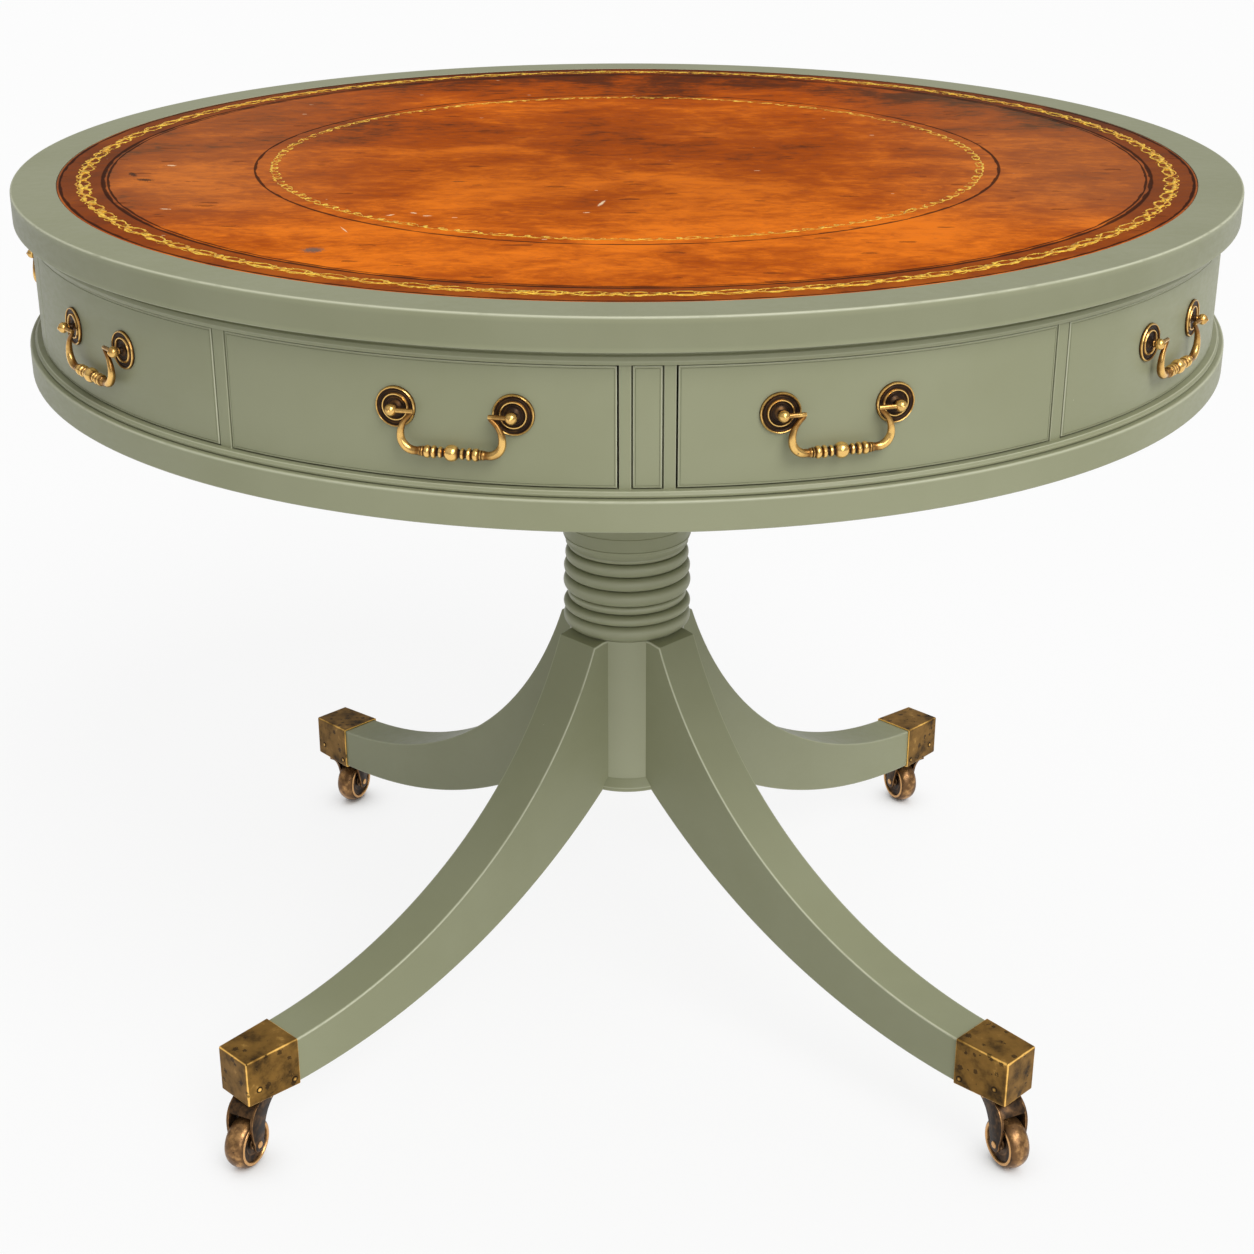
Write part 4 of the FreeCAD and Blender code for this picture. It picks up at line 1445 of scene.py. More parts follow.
    def inside(self) -> None:
        """What the drum hides: hub, guides and stops keep their solids."""
        self.shop.keep(Slot.BARE_WOOD, "drum_hub", "drawer_guides", "drawer_stops")

    def drawers(self) -> None:
        """The fronts and boxes of the five real drawers."""
        s = self.size
        for bay in range(s.bays):
            name = f"drawer_front_{bay + 1}"
            form = self.front(False).moved(at_bearing(s.real_bearing(bay)))
            self.shop.formed(name + "_bowed", form, Slot.PAINT, f"drawer_{bay + 1}", name)
            self.shop.keep(Slot.BARE_WOOD, f"drawer_box_{bay + 1}")

    def build(self) -> None:
        """Builds the whole drum."""
        self.top()
        self.rails()
        self.posts()
        self.dummy_fronts()
        self.drawers()
        self.inside()


@dataclass
class LeatherTop:
    """The leather laid into the top, with its gilt tooling."""

    shop: Workshop
    size: DrumSizes = field(default_factory=DrumSizes)
    lift: float = 0.12

    def leather(self) -> None:
        """The leather disc, with its edge pressed down."""
        s = self.size
        outline = rounded([
            Corner(0, s.recess_floor),
            Corner(s.leather_radius, s.recess_floor),
            Corner(s.leather_radius, s.leather_top, 0.8, 0.6),
            Corner(0, s.leather_top)], steps=4)
        self.shop.formed("leather_inset_laid", turned(outline, s.sides), Slot.LEATHER, "drum",
                         "leather_inset")

    def gilt(self) -> None:
        """The scrollwork near the border and the chain round the middle."""
        scroll = dict(Points=4600, Radius=0.4332, Breaks=0.30)
        chain = dict(Points=3000, Radius=0.2850, Breaks=0.33)
        lines = (
            ("gilt_scroll_strand", scroll | dict(Loops=46.5, Reach=0.0050, Run=0.0, Wander=0.005,
                                                 Stroke=0.0024, Seed=1.0)),
            ("gilt_scroll_cross", scroll | dict(Loops=46.5, Reach=-0.0050, Run=0.0, Wander=0.005,
                                                Stroke=0.0024, Seed=4.0)),
            ("gilt_scroll_eyes", scroll | dict(Loops=93.0, Reach=0.0024, Run=0.0088, Wander=0.004,
                                               Stroke=0.0042, Breaks=0.34, Seed=9.0)),
            ("gilt_scroll_curls", scroll | dict(Loops=186.0, Reach=0.0050, Run=0.0045, Wander=0.007,
                                                Stroke=0.0017, Breaks=0.42, Seed=21.0)),
            ("gilt_chain_loops", chain | dict(Loops=133.0, Reach=0.0027, Run=0.0042, Wander=0.004,
                                              Stroke=0.0024, Seed=12.0)),
            ("gilt_chain_beads", chain | dict(Loops=67.0, Reach=-0.0030, Run=0.0022, Wander=0.005,
                                              Stroke=0.0022, Breaks=0.45, Seed=15.0)))
        for name, values in lines:
            mesh = self.shop.gilt_line.build(name, bpy.data.meshes.new(name), values | {
                "Height": (self.size.leather_top + self.lift) * MM,
                "Material": self.shop.finishes.gilt})
            self.shop.piece(name, mesh, Slot.LEATHER, "drum", material=self.shop.finishes.gilt)

    def build(self) -> None:
        """Builds the leather and its gilding."""
        self.leather()
        self.gilt()


@dataclass
class Handles:
    """Ringed backplates, ball-headed posts and swan-neck bails."""

    shop: Workshop
    size: DrumSizes = field(default_factory=DrumSizes)
    span: float = 79.3
    height: float = 691.97
    front_shift: float = 3.9
    reach: float = 8.5
    ball_radius: float = 3.95
    drop: float = 25.7
    sides: int = 28
    pin_sides: int = 10
    arm_sides: int = 12
    neck_sides: int = 14
    grip_sides: int = 20

    @property
    def tilt(self) -> float:
        """The angle between a handle's middle and one of its posts."""
        return math.degrees(math.asin(self.span / 2 / (self.size.frieze_radius + self.reach)))

    @property
    def hinge(self) -> float:
        """The distance of the hinge line from the drum's axis."""
        return math.sqrt((self.size.frieze_radius + self.reach) ** 2 - (self.span / 2) ** 2)

    def post(self) -> Form:
        """One backplate with its post, along +Z.

        Returns:
            The form.
        """
        plate = stations(
            (0, 0), (13.75, 0), (13.75, 0.9, 0.3), (13.5, 1.7, 0.8), (13.0, 2.2, 1.0), (12.4, 1.9, 0.5),
            (12.1, 1.3), (11.3, 1.0), (11.0, 1.3, 0.1), (10.6, 1.3, 0.1), (10.3, 0.95), (9.6, 1.0),
            (9.2, 1.6, 0.5), (8.75, 2.3, 1.0), (8.2, 2.25, 0.9), (7.9, 1.6, 0.3), (7.5, 1.1), (6.9, 1.0),
            (6.5, 1.35, 0.08), (6.0, 1.35, 0.08), (5.6, 1.0), (4.6, 1.1), (4.0, 1.6, 0.12),
            (3.3, 1.9, 0.12), (2.5, 2.4), (2.1, 3.8, 0.1), (2.4, 4.7, 0.4))
        for i in range(9):
            angle = math.radians(-58 + 17.2 * i)
            plate.append(Station(self.ball_radius * math.cos(angle),
                                 self.reach + self.ball_radius * math.sin(angle), 0.8))
        plate += stations((0.9, 12.6, 0.9), (0.6, 12.85, 1.0), (0, 12.9, 1.0))
        return turned(plate, self.sides)

    def posts(self) -> Form:
        """The two posts of one handle, on +X.

        Returns:
            The form.
        """
        form = Form()
        place = Matrix.Translation((self.size.frieze_radius, 0, self.height))
        for side in (-1, 1):
            form.add(self.post(), turn(side * self.tilt, "Z") @ place @ turn(90, "Y"))
        return form

    def bail(self) -> Form:
        """One bail hanging at rest, on +X.

        Returns:
            The form.
        """
        half = self.span / 2
        form = Form()
        up = Vector((1, 0, 0))
        neck = smooth_path([
            (14.0, 0.4, 1.25, 0.3), (13.2, 1.9, 1.5, 0.4), (11.0, 3.9, 1.65, 0.55),
            (8.6, 6.8, 1.85, 0.65), (6.8, 10.6, 2.15, 0.75), (6.0, 14.8, 2.45, 0.85),
            (6.4, 19.0, 2.75, 0.9), (8.6, 22.8, 2.95, 0.9), (12.2, 25.2, 2.9, 0.8),
            (15.6, self.drop, 2.75, 0.6), (17.6, self.drop, 2.75, 0.3)], 4)
        arm = [(3.4, 0.0, 1.45, 0.3), (3.5, 0.0, 1.6, 0.7), (14.3, 0.0, 1.6, 0.75),
               (14.9, 0.0, 1.45, 0.9), (15.0, 0.0, 1.1, 0.6)]
        pin = [(2.2, 0.0, 1.55, 0.0), (4.2, 0.0, 1.55, 0.0)]
        for side in (-1, 1):
            for path, sides in ((pin, self.pin_sides), (arm, self.arm_sides), (neck, self.neck_sides)):
                form.add(swept([(self.hinge, side * (half - inward), self.height - down, radius, wear)
                                for inward, down, radius, wear in path], sides, up))
        form.add(self.grip())
        return form

    def grip(self) -> Form:
        """The turned grip of a bail.

        Returns:
            The form, in place on the bail.
        """
        half = [
            (0.0, 5.4, 1.0), (1.4, 5.22, 1.0), (2.7, 4.7, 0.95), (3.8, 3.8, 0.7), (4.6, 2.9, 0.1),
            (5.0, 2.6, 0.0), (5.6, 2.6, 0.0), (6.1, 3.0, 0.4), (6.6, 3.6, 0.9), (7.3, 3.75, 1.0),
            (8.0, 3.6, 0.9), (8.5, 2.9, 0.2), (8.9, 2.5, 0.0), (9.7, 2.5, 0.0), (10.2, 3.1, 0.4),
            (10.8, 4.0, 0.95), (11.7, 4.3, 1.0), (12.6, 4.0, 0.9), (13.2, 3.1, 0.2), (13.5, 2.7, 0.0),
            (13.9, 2.9, 0.2), (14.6, 3.8, 0.8), (15.8, 4.25, 1.0), (17.0, 4.1, 0.9), (18.0, 3.5, 0.4),
            (18.4, 2.9, 0.0), (18.9, 3.3, 0.7), (19.7, 3.4, 0.7), (20.1, 2.8, 0.0), (20.7, 3.2, 0.7),
            (21.6, 3.1, 0.6), (22.4, 2.7, 0.5), (23.0, 2.0, 0.3)]
        line = [(-y, r, wear) for y, r, wear in half[:0:-1]] + half
        outline = [Station(0, line[0][0], 0.3)]
        outline += [Station(r, y, wear) for y, r, wear in line]
        outline.append(Station(0, line[-1][0], 0.3))
        place = Matrix.Translation((self.hinge, 0, self.height - self.drop))
        return turned(outline, self.grip_sides).moved(place @ turn(-90, "X"))

    def build(self) -> None:
        """Builds the ten handles."""
        s = self.size
        posts = self.posts()
        bail = self.bail()
        dummy_posts = Form()
        for bay in range(s.bays):
            number = bay + 1
            shift = self.front_shift if bay == 0 else 0.0
            real = at_bearing(s.real_bearing(bay) + shift)
            dummy = at_bearing(s.dummy_bearing(bay) - shift)
            dummy_posts.add(posts, dummy)
            for name, form, place, body in (
                    (f"drawer_posts_{number}", posts, real, f"drawer_{number}"),
                    (f"drawer_bail_{number}", bail, real, f"drawer_handle_{number}"),
                    (f"dummy_bail_{number}", bail, dummy, f"dummy_handle_{number}")):
                self.shop.formed(name + "_turned", form.moved(place), Slot.HANDLE_BRASS, body, name)
        self.shop.formed("dummy_posts_turned", dummy_posts, Slot.HANDLE_BRASS, "drum", "dummy_handle_posts")


@dataclass(frozen=True)
class LegPlan:
    """What the stand and the feet share: where the legs stand and how their ends taper."""

    corners: tuple[str, ...] = ("front_right", "back_right", "back_left", "front_left")
    first_bearing: float = 45.0
    cap_start: float = 399.0
    cap_end: float = 449.0
    taper: float = 2.4

    def bearing(self, corner: int) -> float:
        """The bearing of a leg."""
        return self.first_bearing + 360.0 / len(self.corners) * corner

    def tapered(self, x: float) -> float:
        """By how much a leg's end and its cap are narrower and lower at a place along the leg."""
        return self.taper * max(x - self.cap_start, 0.0) / (self.cap_end - self.cap_start)


@dataclass
class Stand:
    """The ringed column, its caps and the sabre legs."""

    shop: Workshop
    plan: LegPlan = field(default_factory=LegPlan)
    foot: float = 216.0
    cap_bottom: float = 205.0
    cap_radius: float = 57.0
    cap_edge: float = 4.0
    post_radius: float = 51.0
    rings_bottom: float = 349.6
    valley: float = 50.0
    swell: float = 6.2
    ring_heights: tuple[float, ...] = (14.6, 10.3, 8.0, 14.2, 12.9, 12.0, 5.2)
    ring_swells: tuple[float, ...] = (1.0, 1.0, 0.4, 1.0, 0.92, 0.7, 0.3)
    ring_steps: int = 16
    # Painted highlight on each ring's upper crown: its strength, and the angle in the ring's profile where
    # it lies.
    ring_wear: float = 0.42
    ring_worn_angle: float = 1.95
    groove: float = 0.9
    groove_half: float = 0.35
    groove_shade: float = -0.8
    line_width: float = 0.5
    line_depth: float = 0.45
    column_top: float = 601.7
    collar_radius: float = 96.0
    collar_thickness: float = 14.0
    scribed_lines: tuple[float, ...] = (434.6, 447.0)
    platform_radius: float = 150.0
    platform_bore: float = 12.1
    platform_thickness: float = 16.0
    leg_root: float = 40.0
    leg_widths: tuple[float, float] = (44.5, 39.2)
    leg_end_heights: tuple[float, float] = (64.9, 105.3)
    leg_end_gap: float = 1.8
    leg_steps: int = 22
    sides: int = 96
    arris: float = 1.3
    # The upper arris of each front leg that faces the front of the table is the palest: painted highlight;
    # elsewhere the arrises are paled by wear and painted highlight.
    arris_wears: tuple[tuple[float, float], ...] = ((1.0, 0.4), (0.4, 0.4), (0.4, 0.4), (0.4, 1.0))

    def column(self) -> None:
        """The column: plain post between the legs, turned rings, cove and collar, with painted light on the
        post, painted highlights on the rings' crowns and painted shade in their grooves.
        """
        # The post is paled evenly: painted light.
        outline = [Station(0, self.foot), Station(self.post_radius, self.foot, 0.32),
                   Station(self.post_radius, self.rings_bottom - 0.4, 0.32),
                   Station(self.post_radius - 0.4, self.rings_bottom)]
        z = self.rings_bottom
        for height, share in zip(self.ring_heights, self.ring_swells):
            # Each groove is darkened by painted shade, and each ring's upper crown is paled by painted
            # highlight.
            outline.append(Station(self.valley - self.groove, z + 0.15, self.groove_shade))
            for i in range(self.ring_steps + 1):
                angle = math.pi * i / self.ring_steps
                outline.append(Station(
                    self.valley + self.swell * share * math.sin(angle),
                    z + height / 2 - (height / 2 - self.groove_half) * math.cos(angle),
                    self.ring_wear * max(math.cos(angle - self.ring_worn_angle), 0.0) ** 10))
            z += height
            outline.append(Station(self.valley - self.groove, z - 0.15, self.groove_shade))
        cove_top = self.column_top - self.collar_thickness
        flare = self.collar_radius - self.valley
        shares = smooth_path([(0.085, 0.0), (0.088, 0.02), (0.125, 0.045), (0.16, 0.15), (0.22, 0.3),
                              (0.3, 0.45), (0.46, 0.72), (0.68, 0.93), (0.82, 1.0)], 5)
        for radius_share, height_share in shares:
            outline.append(Station(self.valley + flare * radius_share, z + (cove_top - z) * height_share))
        for line in self.scribed_lines:
            index = next(i for i, s in enumerate(outline) if s.b > line)
            radius = outline[index].a
            outline[index:index] = stations(
                (radius, line - self.line_width), (radius - self.line_depth, line),
                (radius, line + self.line_width))
        outline += rounded([
            Corner(self.collar_radius - 5, cove_top), Corner(self.collar_radius, cove_top, 1.5),
            Corner(self.collar_radius, self.column_top, 1.5), Corner(0, self.column_top)])
        self.shop.formed("column_turned", turned(outline, self.sides), Slot.PAINT, "base", "column", 40.0)

    def caps(self) -> None:
        """The turned cap under the column and the round platform on it."""
        cap = rounded([
            Corner(0, self.cap_bottom), Corner(self.cap_radius, self.cap_bottom, 2.0, 0.4),
            Corner(self.cap_radius, self.cap_bottom + self.cap_edge, 2.0, 0.6),
            Corner(self.post_radius + 0.4, self.foot, 1.0), Corner(0, self.foot)])
        self.shop.formed("column_cap_turned", turned(cap, self.sides), Slot.PAINT, "base", "column_cap")
        bottom, top = self.column_top, self.column_top + self.platform_thickness
        platform = rounded([
            Corner(self.platform_bore, bottom), Corner(self.platform_radius - 3.0, bottom, 1.0),
            Corner(self.platform_radius, bottom + 3.0, 1.5), Corner(self.platform_radius, top, 0.8),
            Corner(self.platform_bore, top)], closed=True)
        self.shop.formed("platform_turned", turned(platform, self.sides, True), Slot.PAINT, "base",
                         "platform")
        self.shop.keep(Slot.STEEL, "spindle", "spindle_nut")

    @staticmethod
    def two_arcs(start: Vector, end: Vector, slopes: tuple[float, float], steps: int) -> list[Vector]:
        """Two arcs that run into each other smoothly.

        Args:
            start: Where the line starts.
            end: Where it ends.
            slopes: Its slopes there, in degrees.
            steps: How many steps each arc has.

        Returns:
            The points of the line.
        """
        first, last = [Vector((math.cos(math.radians(a)), math.sin(math.radians(a)))) for a in slopes]
        chord = end - start
        both = first + last
        bend = 2 - 2 * first.dot(last)
        reach = (math.sqrt(chord.dot(both) ** 2 + bend * chord.dot(chord)) - chord.dot(both)) / bend
        near = start + first * reach
        far = end - last * reach
        middle = (near + far) / 2
        line = []
        for a, b, tangent in ((start, middle, first), (middle, end, (far - near).normalized())):
            cut = b - a
            normal = Vector((-tangent.y, tangent.x))
            radius = cut.length_squared / (2 * cut.dot(normal))
            centre = a + normal * radius
            angle = 2 * math.atan2(tangent.x * cut.y - tangent.y * cut.x, tangent.dot(cut))
            for i in range(steps):
                line.append(centre + Matrix.Rotation(angle * i / steps, 2) @ (a - centre))
        line.append(end)
        return line

    def half_width(self, x: float) -> float:
        """Half a leg's width at a distance from the column's axis.

        Args:
            x: The distance from the axis.

        Returns:
            Half the width there.
        """
        share = min(max((x - self.post_radius) / (self.plan.cap_start - self.post_radius), 0.0), 1.0)
        width = self.leg_widths[0] + (self.leg_widths[1] - self.leg_widths[0]) * share
        return width / 2 - self.plan.tapered(x)

    def leg(self, side_wear_and_highlights: tuple[float, float]) -> Form:
        """One sabre leg on +X, with softened arrises.

        Args:
            side_wear_and_highlights: How pale the arrises on its -Y side and on its +Y side are, from wear
                and painted highlight.

        Returns:
            The form.
        """
        low_end, high_end = (Vector((self.plan.cap_start, height)) for height in self.leg_end_heights)
        top = [Vector((self.leg_root, 349.3)), Vector((self.post_radius, 349.3)), Vector((60.9, 347.5))]
        top += self.two_arcs(Vector((61.4, 347.3)), high_end, (-68.2, -4.7), self.leg_steps)
        bottom = [Vector((self.leg_root, 207.0)), Vector((50.9, 207.0)), Vector((self.post_radius, 206.9))]
        bottom += self.two_arcs(Vector((51.2, 206.7)), low_end, (-41.9, -2.5), self.leg_steps)
        end = self.plan.cap_end - self.leg_end_gap
        top.append(Vector((end, high_end.y - self.plan.taper)))
        bottom.append(Vector((end, low_end.y)))
        form = Form()
        return form.skin([self.leg_section(form, high, low, side_wear_and_highlights) for high, low in zip(top, bottom)])

    def leg_section(self, form: Form, high: Vector, low: Vector,
                    side_wear_and_highlights: tuple[float, float]) -> list[int]:
        """One section of a leg, square with softened arrises.

        Args:
            form: The leg's form.
            high: The section's upper point, along the leg and up.
            low: Its lower point.
            side_wear_and_highlights: How pale the upper arrises on the -Y side and on the +Y side are, from
                wear and painted highlight.

        Returns:
            The section's points.
        """
        rise = (high - low).normalized()
        points, wears = [], []
        for end, side, sign in ((low, -1, 1), (low, 1, 1), (high, 1, -1), (high, -1, -1)):
            half = self.half_width(end.x)
            wear = side_wear_and_highlights[side > 0] if sign < 0 else 0.25
            upright = (end.x + rise.x * sign * self.arris, end.y + rise.y * sign * self.arris)
            first = Vector((upright[0], side * half, upright[1]))
            second = Vector((end.x, side * (half - self.arris), end.y))
            corner = Vector((end.x, side * half, end.y))
            run = [first, first.lerp(corner, 0.5).lerp(corner.lerp(second, 0.5), 0.5), second]
            guard_side = first + Vector((rise.x, 0, rise.y)) * (0.5 * sign)
            guard_face = second - Vector((0, side * 0.5, 0))
            run = [guard_side, *run, guard_face]
            level = [0.0, 0.5, 1.0, 0.5, 0.0]
            if (side, sign) in ((1, 1), (-1, -1)):
                run.reverse()
                level.reverse()
            points += run
            wears += [wear * value for value in level]
        return form.ring(points, wears)

    def build(self) -> None:
        """Builds the whole stand."""
        self.column()
        self.caps()
        for i, corner in enumerate(self.plan.corners):
            name = f"leg_{corner}"
            form = self.leg(self.arris_wears[i]).moved(at_bearing(self.plan.bearing(i)))
            self.shop.formed(name + "_sawn", form, Slot.PAINT, "base", name, 28.0)


@dataclass
class Feet:
    """Brass box caps with their screws, and the castors."""

    shop: Workshop
    plan: LegPlan = field(default_factory=LegPlan)
    width_half: float = 21.2
    low: float = 63.3
    top: float = 106.9
    wall: float = 1.5
    rounding: float = 1.7
    guard: float = 0.5
    screw_places: tuple[tuple[float, float], ...] = ((404.5, 70.4), (438.0, 75.9))
    trail: float = 16.0
    wheel_radius: float = 22.5
    boss_radius: float = 6.5
    arm_offset: float = 11.6
    arm_thickness: float = 2.6
    plate_low: float = 57.0
    plate_high: float = 60.6
    hole_radius: float = 4.2
    axle_radius: float = 3.0
    axle_half: float = 12.0
    castor_distance: float = 430.0
    rest_bearing: float = 25.0
    small_sides: int = 16
    pin_sides: int = 32
    wheel_sides: int = 48

    def loop(self, form: Form, x: float, inset: float, wear: float, corner_wear: float = 0.0,
             steps: int = 3) -> list[int]:
        """A rounded rectangle round a leg's end.

        Args:
            form: The form.
            x: Its place along the leg.
            inset: How far inside the cap's outside it lies.
            wear: Its wear between the corners.
            corner_wear: Its wear at the corners.
            steps: How many steps a corner has.

        Returns:
            Its points.
        """
        radius = max(1.5 - inset, 0.35)
        points, wears = [], []
        corners = ((1, 1, 0), (-1, 1, 90), (-1, -1, 180), (1, -1, 270))
        high = self.top - self.plan.tapered(x)
        middle = (self.low + high) / 2
        half_y = self.width_half - self.plan.tapered(x) - inset - radius
        half_z = (high - self.low) / 2 - inset - radius
        for side, rise, start in corners:
            for i in range(-1, steps + 2):
                angle = math.radians(start + 90 * min(max(i, 0), steps) / steps)
                out = Vector((math.cos(angle), math.sin(angle)))
                along = Vector((-math.sin(angle), math.cos(angle))) * self.guard
                place = Vector((side * half_y, middle + rise * half_z)) + out * radius
                place += along * ((i > steps) - (i < 0))
                points.append(Vector((x, place.x, place.y)))
                wears.append(max(wear, corner_wear if i in (1, 2) else 0.0))
        return form.ring(points, wears)

    def cap(self) -> Form:
        """One box cap on +X: a hollow brass box with worn, rounded edges.

        Returns:
            The form.
        """
        form = Form()
        start, end = self.plan.cap_start, self.plan.cap_end
        levels = [(end - self.wall - 0.2, self.wall, 0.0), (start + 0.4, self.wall, 0.0),
                  (start + 0.1, self.wall - 0.2, 0.3), (start, 0.9, 0.7), (start + 0.05, 0.35, 0.8),
                  (start + 0.35, 0.0, 0.4, 0.4), (start + 0.9, 0.0, 0.0, 0.38)]
        rounding = self.rounding
        levels.append((end - rounding - 0.4, 0.0, 0.0, 0.4))
        for i in range(6):
            angle = math.radians(18 * i)
            wear = 0.62 * math.sin(2 * angle) ** 2
            levels.append((end - rounding * (1 - math.sin(angle)), rounding * (1 - math.cos(angle)),
                           wear, wear))
        levels.append((end, rounding + 0.5, 0.0))
        return form.skin([self.loop(form, *level) for level in levels])

    def screws(self) -> Form:
        """The screws on both sides of a box cap, each in its countersink ring.

        Returns:
            The form, in place on the cap.
        """
        head = turned(stations(
            (0, 0), (2.9, 0), (2.9, 0.1, -0.6), (2.5, 0.16, -0.6), (2.3, 0.1, -0.8), (2.1, 0.12, -0.8),
            (1.9, 0.5, -0.1), (1.2, 0.66, 0.3), (0, 0.7, 0.5)), self.small_sides)
        form = Form()
        for side in (-1, 1):
            slant = math.degrees(math.atan(self.plan.taper / (self.plan.cap_end - self.plan.cap_start)))
            outward = turn(-side * slant, "Z") @ turn(-90 * side, "X")
            for x, z in self.screw_places:
                y = side * (self.width_half - self.plan.tapered(x))
                form.add(head, Matrix.Translation((x, y, z)) @ outward)
        return form

    def pin(self) -> Form:
        """The collar plate and pin of a castor, on the Z axis.

        Returns:
            The form.
        """
        return turned(stations(
            (0, 55.0), (5.4, 55.0), (6.2, 55.5, 0.4), (6.2, 56.4, 0.4), (5.6, 56.6), (4.0, 56.6),
            (4.0, 61.0), (9.6, 61.0), (10.4, 61.5, 0.4), (10.5, 62.2, 0.6), (10.1, 62.9, 0.3),
            (10.1, self.low), (0, self.low)), self.pin_sides)

    def arm_outline(self) -> list[Vector]:
        """The side view of a fork's arm, from the plate down to the boss.

        Returns:
            Its points.
        """
        angles = [math.radians(degrees) for degrees in range(20, -201, -20)]
        boss = [(self.trail + self.boss_radius * math.cos(angle),
                 self.wheel_radius + self.boss_radius * math.sin(angle)) for angle in angles]
        line = [(12.0, self.plate_high), (18.0, self.plate_low), (22.5, 51.0), (24.5, 44.0), (24.5, 36.0),
                (23.5, 29.0)]
        back = [(9.0, 27.0), (7.5, 33.0), (5.5, 40.0), (1.0, 48.0), (-5.0, 53.5), (-9.0, 56.0),
                (-9.0, self.plate_high)]
        return [Vector((x, z)) for x, z in smooth_path([*line, *boss, *back], 2)]

    def saddle(self) -> Form:
        """The fork's top: a plate with the hole for the pin, bent down over the wheel.

        Returns:
            The form.
        """
        outer = [(-9.6, -6.0), (-9.6, 6.0), (-8.0, 11.4), (12.0, 11.4), (12.0, -11.4), (-8.0, -11.4)]
        edge = []
        for i, (x, y) in enumerate(outer):
            after = outer[(i + 1) % len(outer)]
            edge += [Vector((x + (after[0] - x) * k / 5, y + (after[1] - y) * k / 5)) for k in range(5)]
        form = Form()
        hole = [point.normalized() * self.hole_radius for point in edge]
        low, high = self.plate_low, self.plate_high
        rings = [form.ring([Vector((p.x, p.y, z)) for p in points], [wear] * len(points))
                 for points, z, wear in ((hole, low, 0.0), (edge, low, 0.1), (edge, high - 0.4, 0.3),
                                         ([p * 0.97 for p in edge], high, 0.2), (hole, high, 0.0))]
        form.skin(rings, looped=True)
        bend = smooth_path([(11.8, high), (15.4, 59.0), (18.6, 56.4), (21.0, 53.6), (22.4, 50.8)], 3)
        bend += smooth_path([(19.4, 49.4), (17.6, 51.8), (15.4, 54.2), (13.4, 56.0), (11.8, low)], 3)
        form.add(slab([Vector((x, z)) for x, z in bend], 22.8, 0.5, 0.1))
        return form

    @property
    def hub(self) -> Matrix:
        """The middle of the wheel."""
        return Matrix.Translation((self.trail, 0, self.wheel_radius))

    def fork(self) -> Form:
        """A fork with two arms, its saddle and its axle, trailing along +X.

        Returns:
            The form.
        """
        form = self.saddle()
        arm = slab(self.arm_outline(), self.arm_thickness, 0.6, 0.6)
        rivet = turned(stations((0, 0), (3.2, 0), (3.2, 0.3, 0.5), (2.6, 0.8, 0.9), (0, 0.9, 1.0)),
                       self.small_sides)
        for side in (-1, 1):
            form.add(arm, Matrix.Translation((0, side * self.arm_offset, 0)))
            outside = Matrix.Translation((0, side * (self.arm_offset + 1.2), 0))
            outward = turn(-90 * side, "X")
            form.add(rivet, outside @ self.hub @ outward)
            form.add(rivet, outside @ Matrix.Translation((-4.4, 0, 57.4)) @ outward @ Matrix.Scale(0.55, 4))
        axle = turned(stations((0, -self.axle_half), (self.axle_radius, -self.axle_half),
                               (self.axle_radius, self.axle_half), (0, self.axle_half)), self.small_sides)
        return form.add(axle, self.hub @ turn(90, "X"))

    def wheel(self) -> Form:
        """A wheel with a barrelled tread and ringed, dished sides.

        Returns:
            The form.
        """
        half = [
            (3.1, 7.4, 0.0), (3.4, 8.0, 0.4), (4.6, 8.2, 0.6), (5.4, 7.8, 0.3), (5.8, 7.0, 0.0),
            (9.0, 6.8, 0.0), (9.6, 7.1, 0.15), (10.3, 7.1, 0.15), (10.9, 6.8, 0.0), (14.4, 7.0, 0.0),
            (15.4, 7.4, 0.0), (16.0, 8.7, 0.5), (16.5, 9.3, 0.9), (17.6, 9.4, 1.0), (18.6, 9.1, 0.7),
            (18.9, 8.6, 0.05), (19.6, 8.3, 0.3), (20.7, 6.9, 0.45), (21.6, 5.0, 0.5), (22.2, 2.8, 0.5),
            (22.45, 0.9, 0.5)]
        outline = [Station(r, a, wear) for r, a, wear in half]
        outline += [Station(r, -a, wear) for r, a, wear in reversed(half)]
        return turned(outline, self.wheel_sides, closed=True).moved(self.hub @ turn(90, "X"))

    def castor_place(self, corner: int) -> Matrix:
        """Where a castor stands at rest; the rear ones trail backwards.

        Args:
            corner: The number of its leg.

        Returns:
            Its place and turn.
        """
        bearing = self.plan.bearing(corner)
        side = 1 if bearing < 180 else -1
        angle = math.radians(bearing)
        half_turn = 180.0 if math.cos(angle) < 0 else 0.0
        move = Matrix.Translation(Vector((math.sin(angle), -math.cos(angle), 0)) * self.castor_distance)
        return move @ at_bearing(side * self.rest_bearing + half_turn)

    def build(self) -> None:
        """Builds the feet."""
        for name, form, node in (("box_caps_worked", self.cap(), "box_caps"),
                                 ("cap_screws_turned", self.screws(), "cap_screws")):
            self.shop.repeated(name, form, len(self.plan.corners), self.plan.first_bearing,
                               Slot.CAP_BRASS, "base", node)
        pins = Form()
        for i, corner in enumerate(self.plan.corners):
            place = self.castor_place(i)
            pins.add(self.pin(), place)
            for name, finish, form, body in (
                    (f"castor_fork_{corner}", "_cast", self.fork(), f"castor_{corner}"),
                    (f"castor_wheel_{corner}", "_turned", self.wheel(), f"wheel_{corner}")):
                self.shop.formed(name + finish, form.moved(place), Slot.CASTOR_BRONZE, body, name)
        self.shop.formed("castor_pins_turned", pins, Slot.CASTOR_BRONZE, "base", "castor_pins")


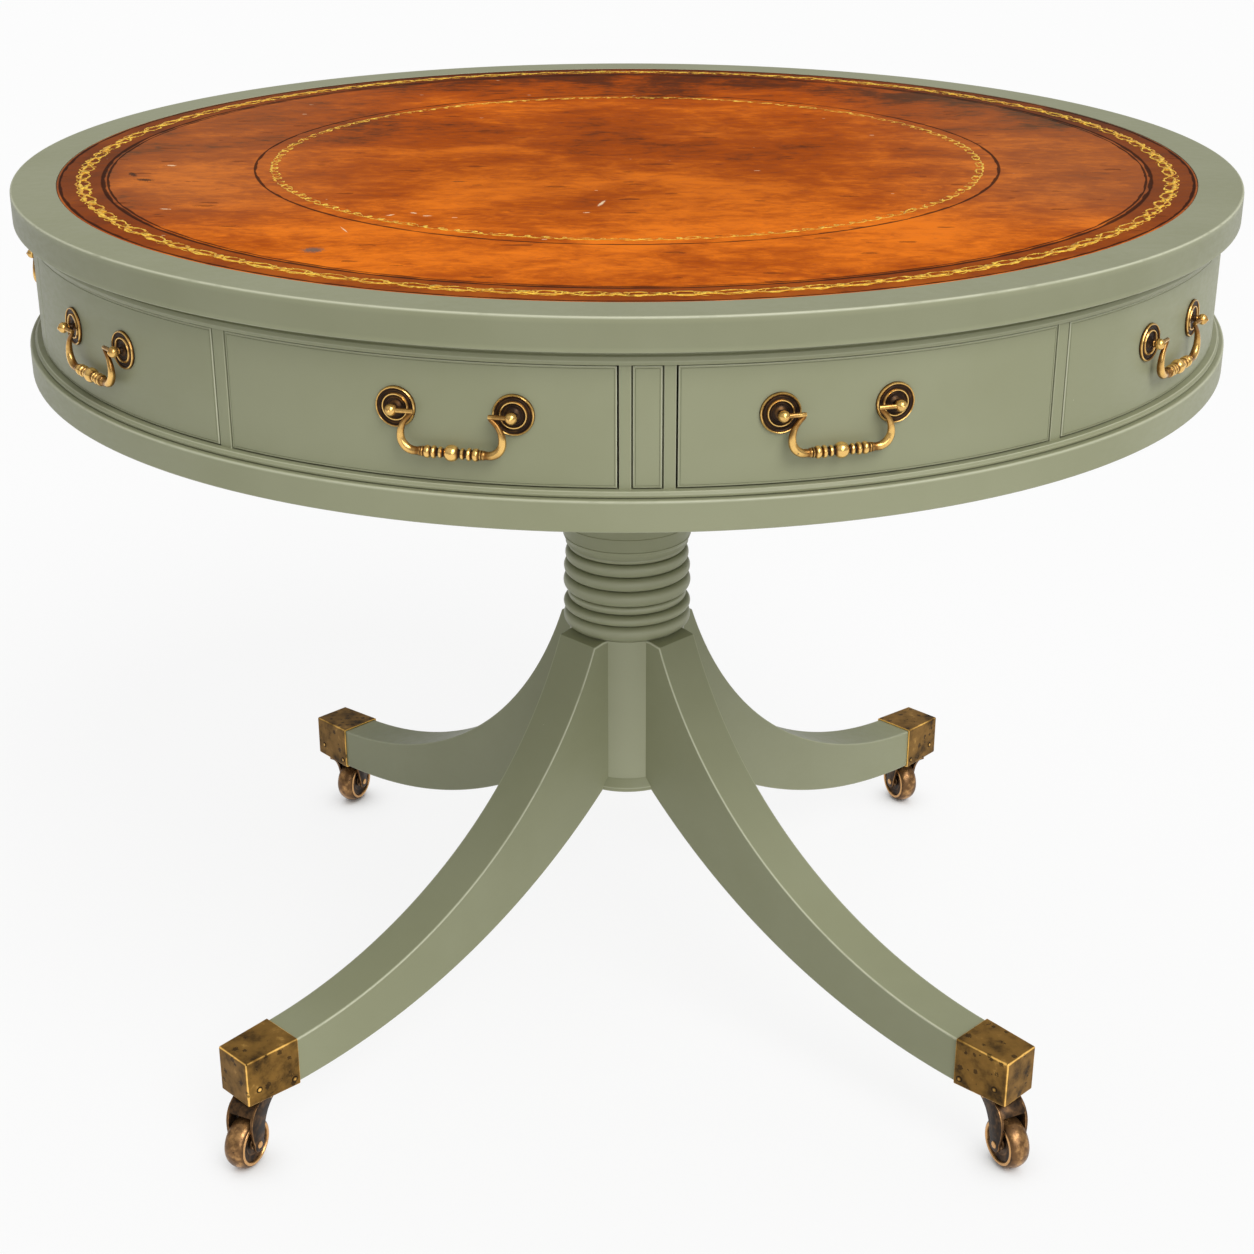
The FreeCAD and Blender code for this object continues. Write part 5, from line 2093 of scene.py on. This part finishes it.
@dataclass
class Studio:
    """A plain pale floor, soft light and the photograph's camera."""

    floor_half: float = 14.0
    shadow_reach: float = 0.06
    camera_place: tuple[float, float, float] = (0.0, -1.762, 1.1084)
    camera_pitch: float = 66.49
    lens: float = 61.67
    lamps: tuple[tuple[str, float, float, float, float], ...] = (
        ("key_lamp", 1.6, 32.0, 48.0, 34.0), ("fill_lamp", 0.72, 36.0, 24.0, 16.0),
        ("back_lamp", 0.3, 60.0, 62.0, 165.0))

    def floor(self) -> None:
        """The floor, pale to the camera, that keeps the table's shadow."""
        half = self.floor_half
        mesh = bpy.data.meshes.new("studio_floor")
        mesh.from_pydata([(-half, -half, 0), (half, -half, 0), (half, half, 0), (-half, half, 0)], [],
                         [(0, 1, 2, 3)])
        material = bpy.data.materials.new("studio_floor")
        material.use_nodes = True
        nodes = ShaderTree(material.node_tree)
        paper = nodes.wire("ShaderNodeBsdfDiffuse", {"Color": linear(232, 232, 232)})
        white = nodes.wire("ShaderNodeEmission", {"Color": linear(254, 254, 254)})
        open_floor = nodes.wire("ShaderNodeAmbientOcclusion", {"Distance": self.shadow_reach}, "AO",
                                samples=8)
        share = nodes.seen_by("Camera", "Glossy", "Transmission") * open_floor.span(0.2, 0.95, 0.0, 0.88)
        both = nodes.wire("ShaderNodeMixShader", {0: share, 1: paper, 2: white})
        nodes.add("ShaderNodeOutputMaterial", {0: both})
        mesh.materials.append(material)
        floor = bpy.data.objects.new("studio_floor", mesh)
        bpy.context.scene.collection.objects.link(floor)

    def sun(self, name: str, strength: float, spread: float, elevation: float, bearing: float) -> None:
        """A very soft lamp far away.

        Args:
            name: Its name.
            strength: Its strength.
            spread: Its apparent size in degrees.
            elevation: Its height above the floor in degrees.
            bearing: Where it stands, in degrees from the front towards the right.
        """
        lamp = bpy.data.lights.new(name, "SUN")
        lamp.energy = strength
        lamp.angle = math.radians(spread)
        holder = bpy.data.objects.new(name, lamp)
        holder.rotation_euler = (math.radians(90 - elevation), 0, math.radians(bearing))
        bpy.context.scene.collection.objects.link(holder)

    def light(self) -> None:
        """A bright sky all round and three soft lamps."""
        world = bpy.data.worlds.new("studio")
        bpy.context.scene.world = world
        world.use_nodes = True
        nodes = ShaderTree(world.node_tree)
        way = nodes.wire("ShaderNodeTexCoord", output="Generated")
        sky = nodes.wires("ShaderNodeSeparateXYZ", {0: way})[2].span(0.0, 0.7, 0.28, 0.54)
        strength = nodes.seen_by("Camera", "Transmission").math("MAXIMUM", sky)
        background = nodes.wire("ShaderNodeBackground", {
            "Color": linear(255, 255, 255), "Strength": strength})
        nodes.add("ShaderNodeOutputWorld", {0: background})
        for lamp in self.lamps:
            self.sun(*lamp)

    def camera(self) -> None:
        """The camera at the photograph's place."""
        data = bpy.data.cameras.new("camera")
        data.lens = self.lens
        data.sensor_width = 36.0
        data.clip_end = 100.0
        holder = bpy.data.objects.new("camera", data)
        holder.location = self.camera_place
        holder.rotation_euler = (math.radians(self.camera_pitch), 0, 0)
        bpy.context.scene.collection.objects.link(holder)
        bpy.context.scene.camera = holder

    def build(self) -> None:
        """Builds the studio."""
        bpy.context.scene.view_settings.view_transform = "Standard"
        self.floor()
        self.light()
        self.camera()


def main() -> None:
    """Builds the table and the studio."""
    logging.basicConfig(level=logging.INFO, format="%(name)s %(message)s")
    shop = Workshop()
    for part in (Drum(shop), LeatherTop(shop), Handles(shop), Stand(shop), Feet(shop)):
        part.build()
        LOG.info("%s built", type(part).__name__)
    Studio().build()


if __name__ == "__main__":
    main()
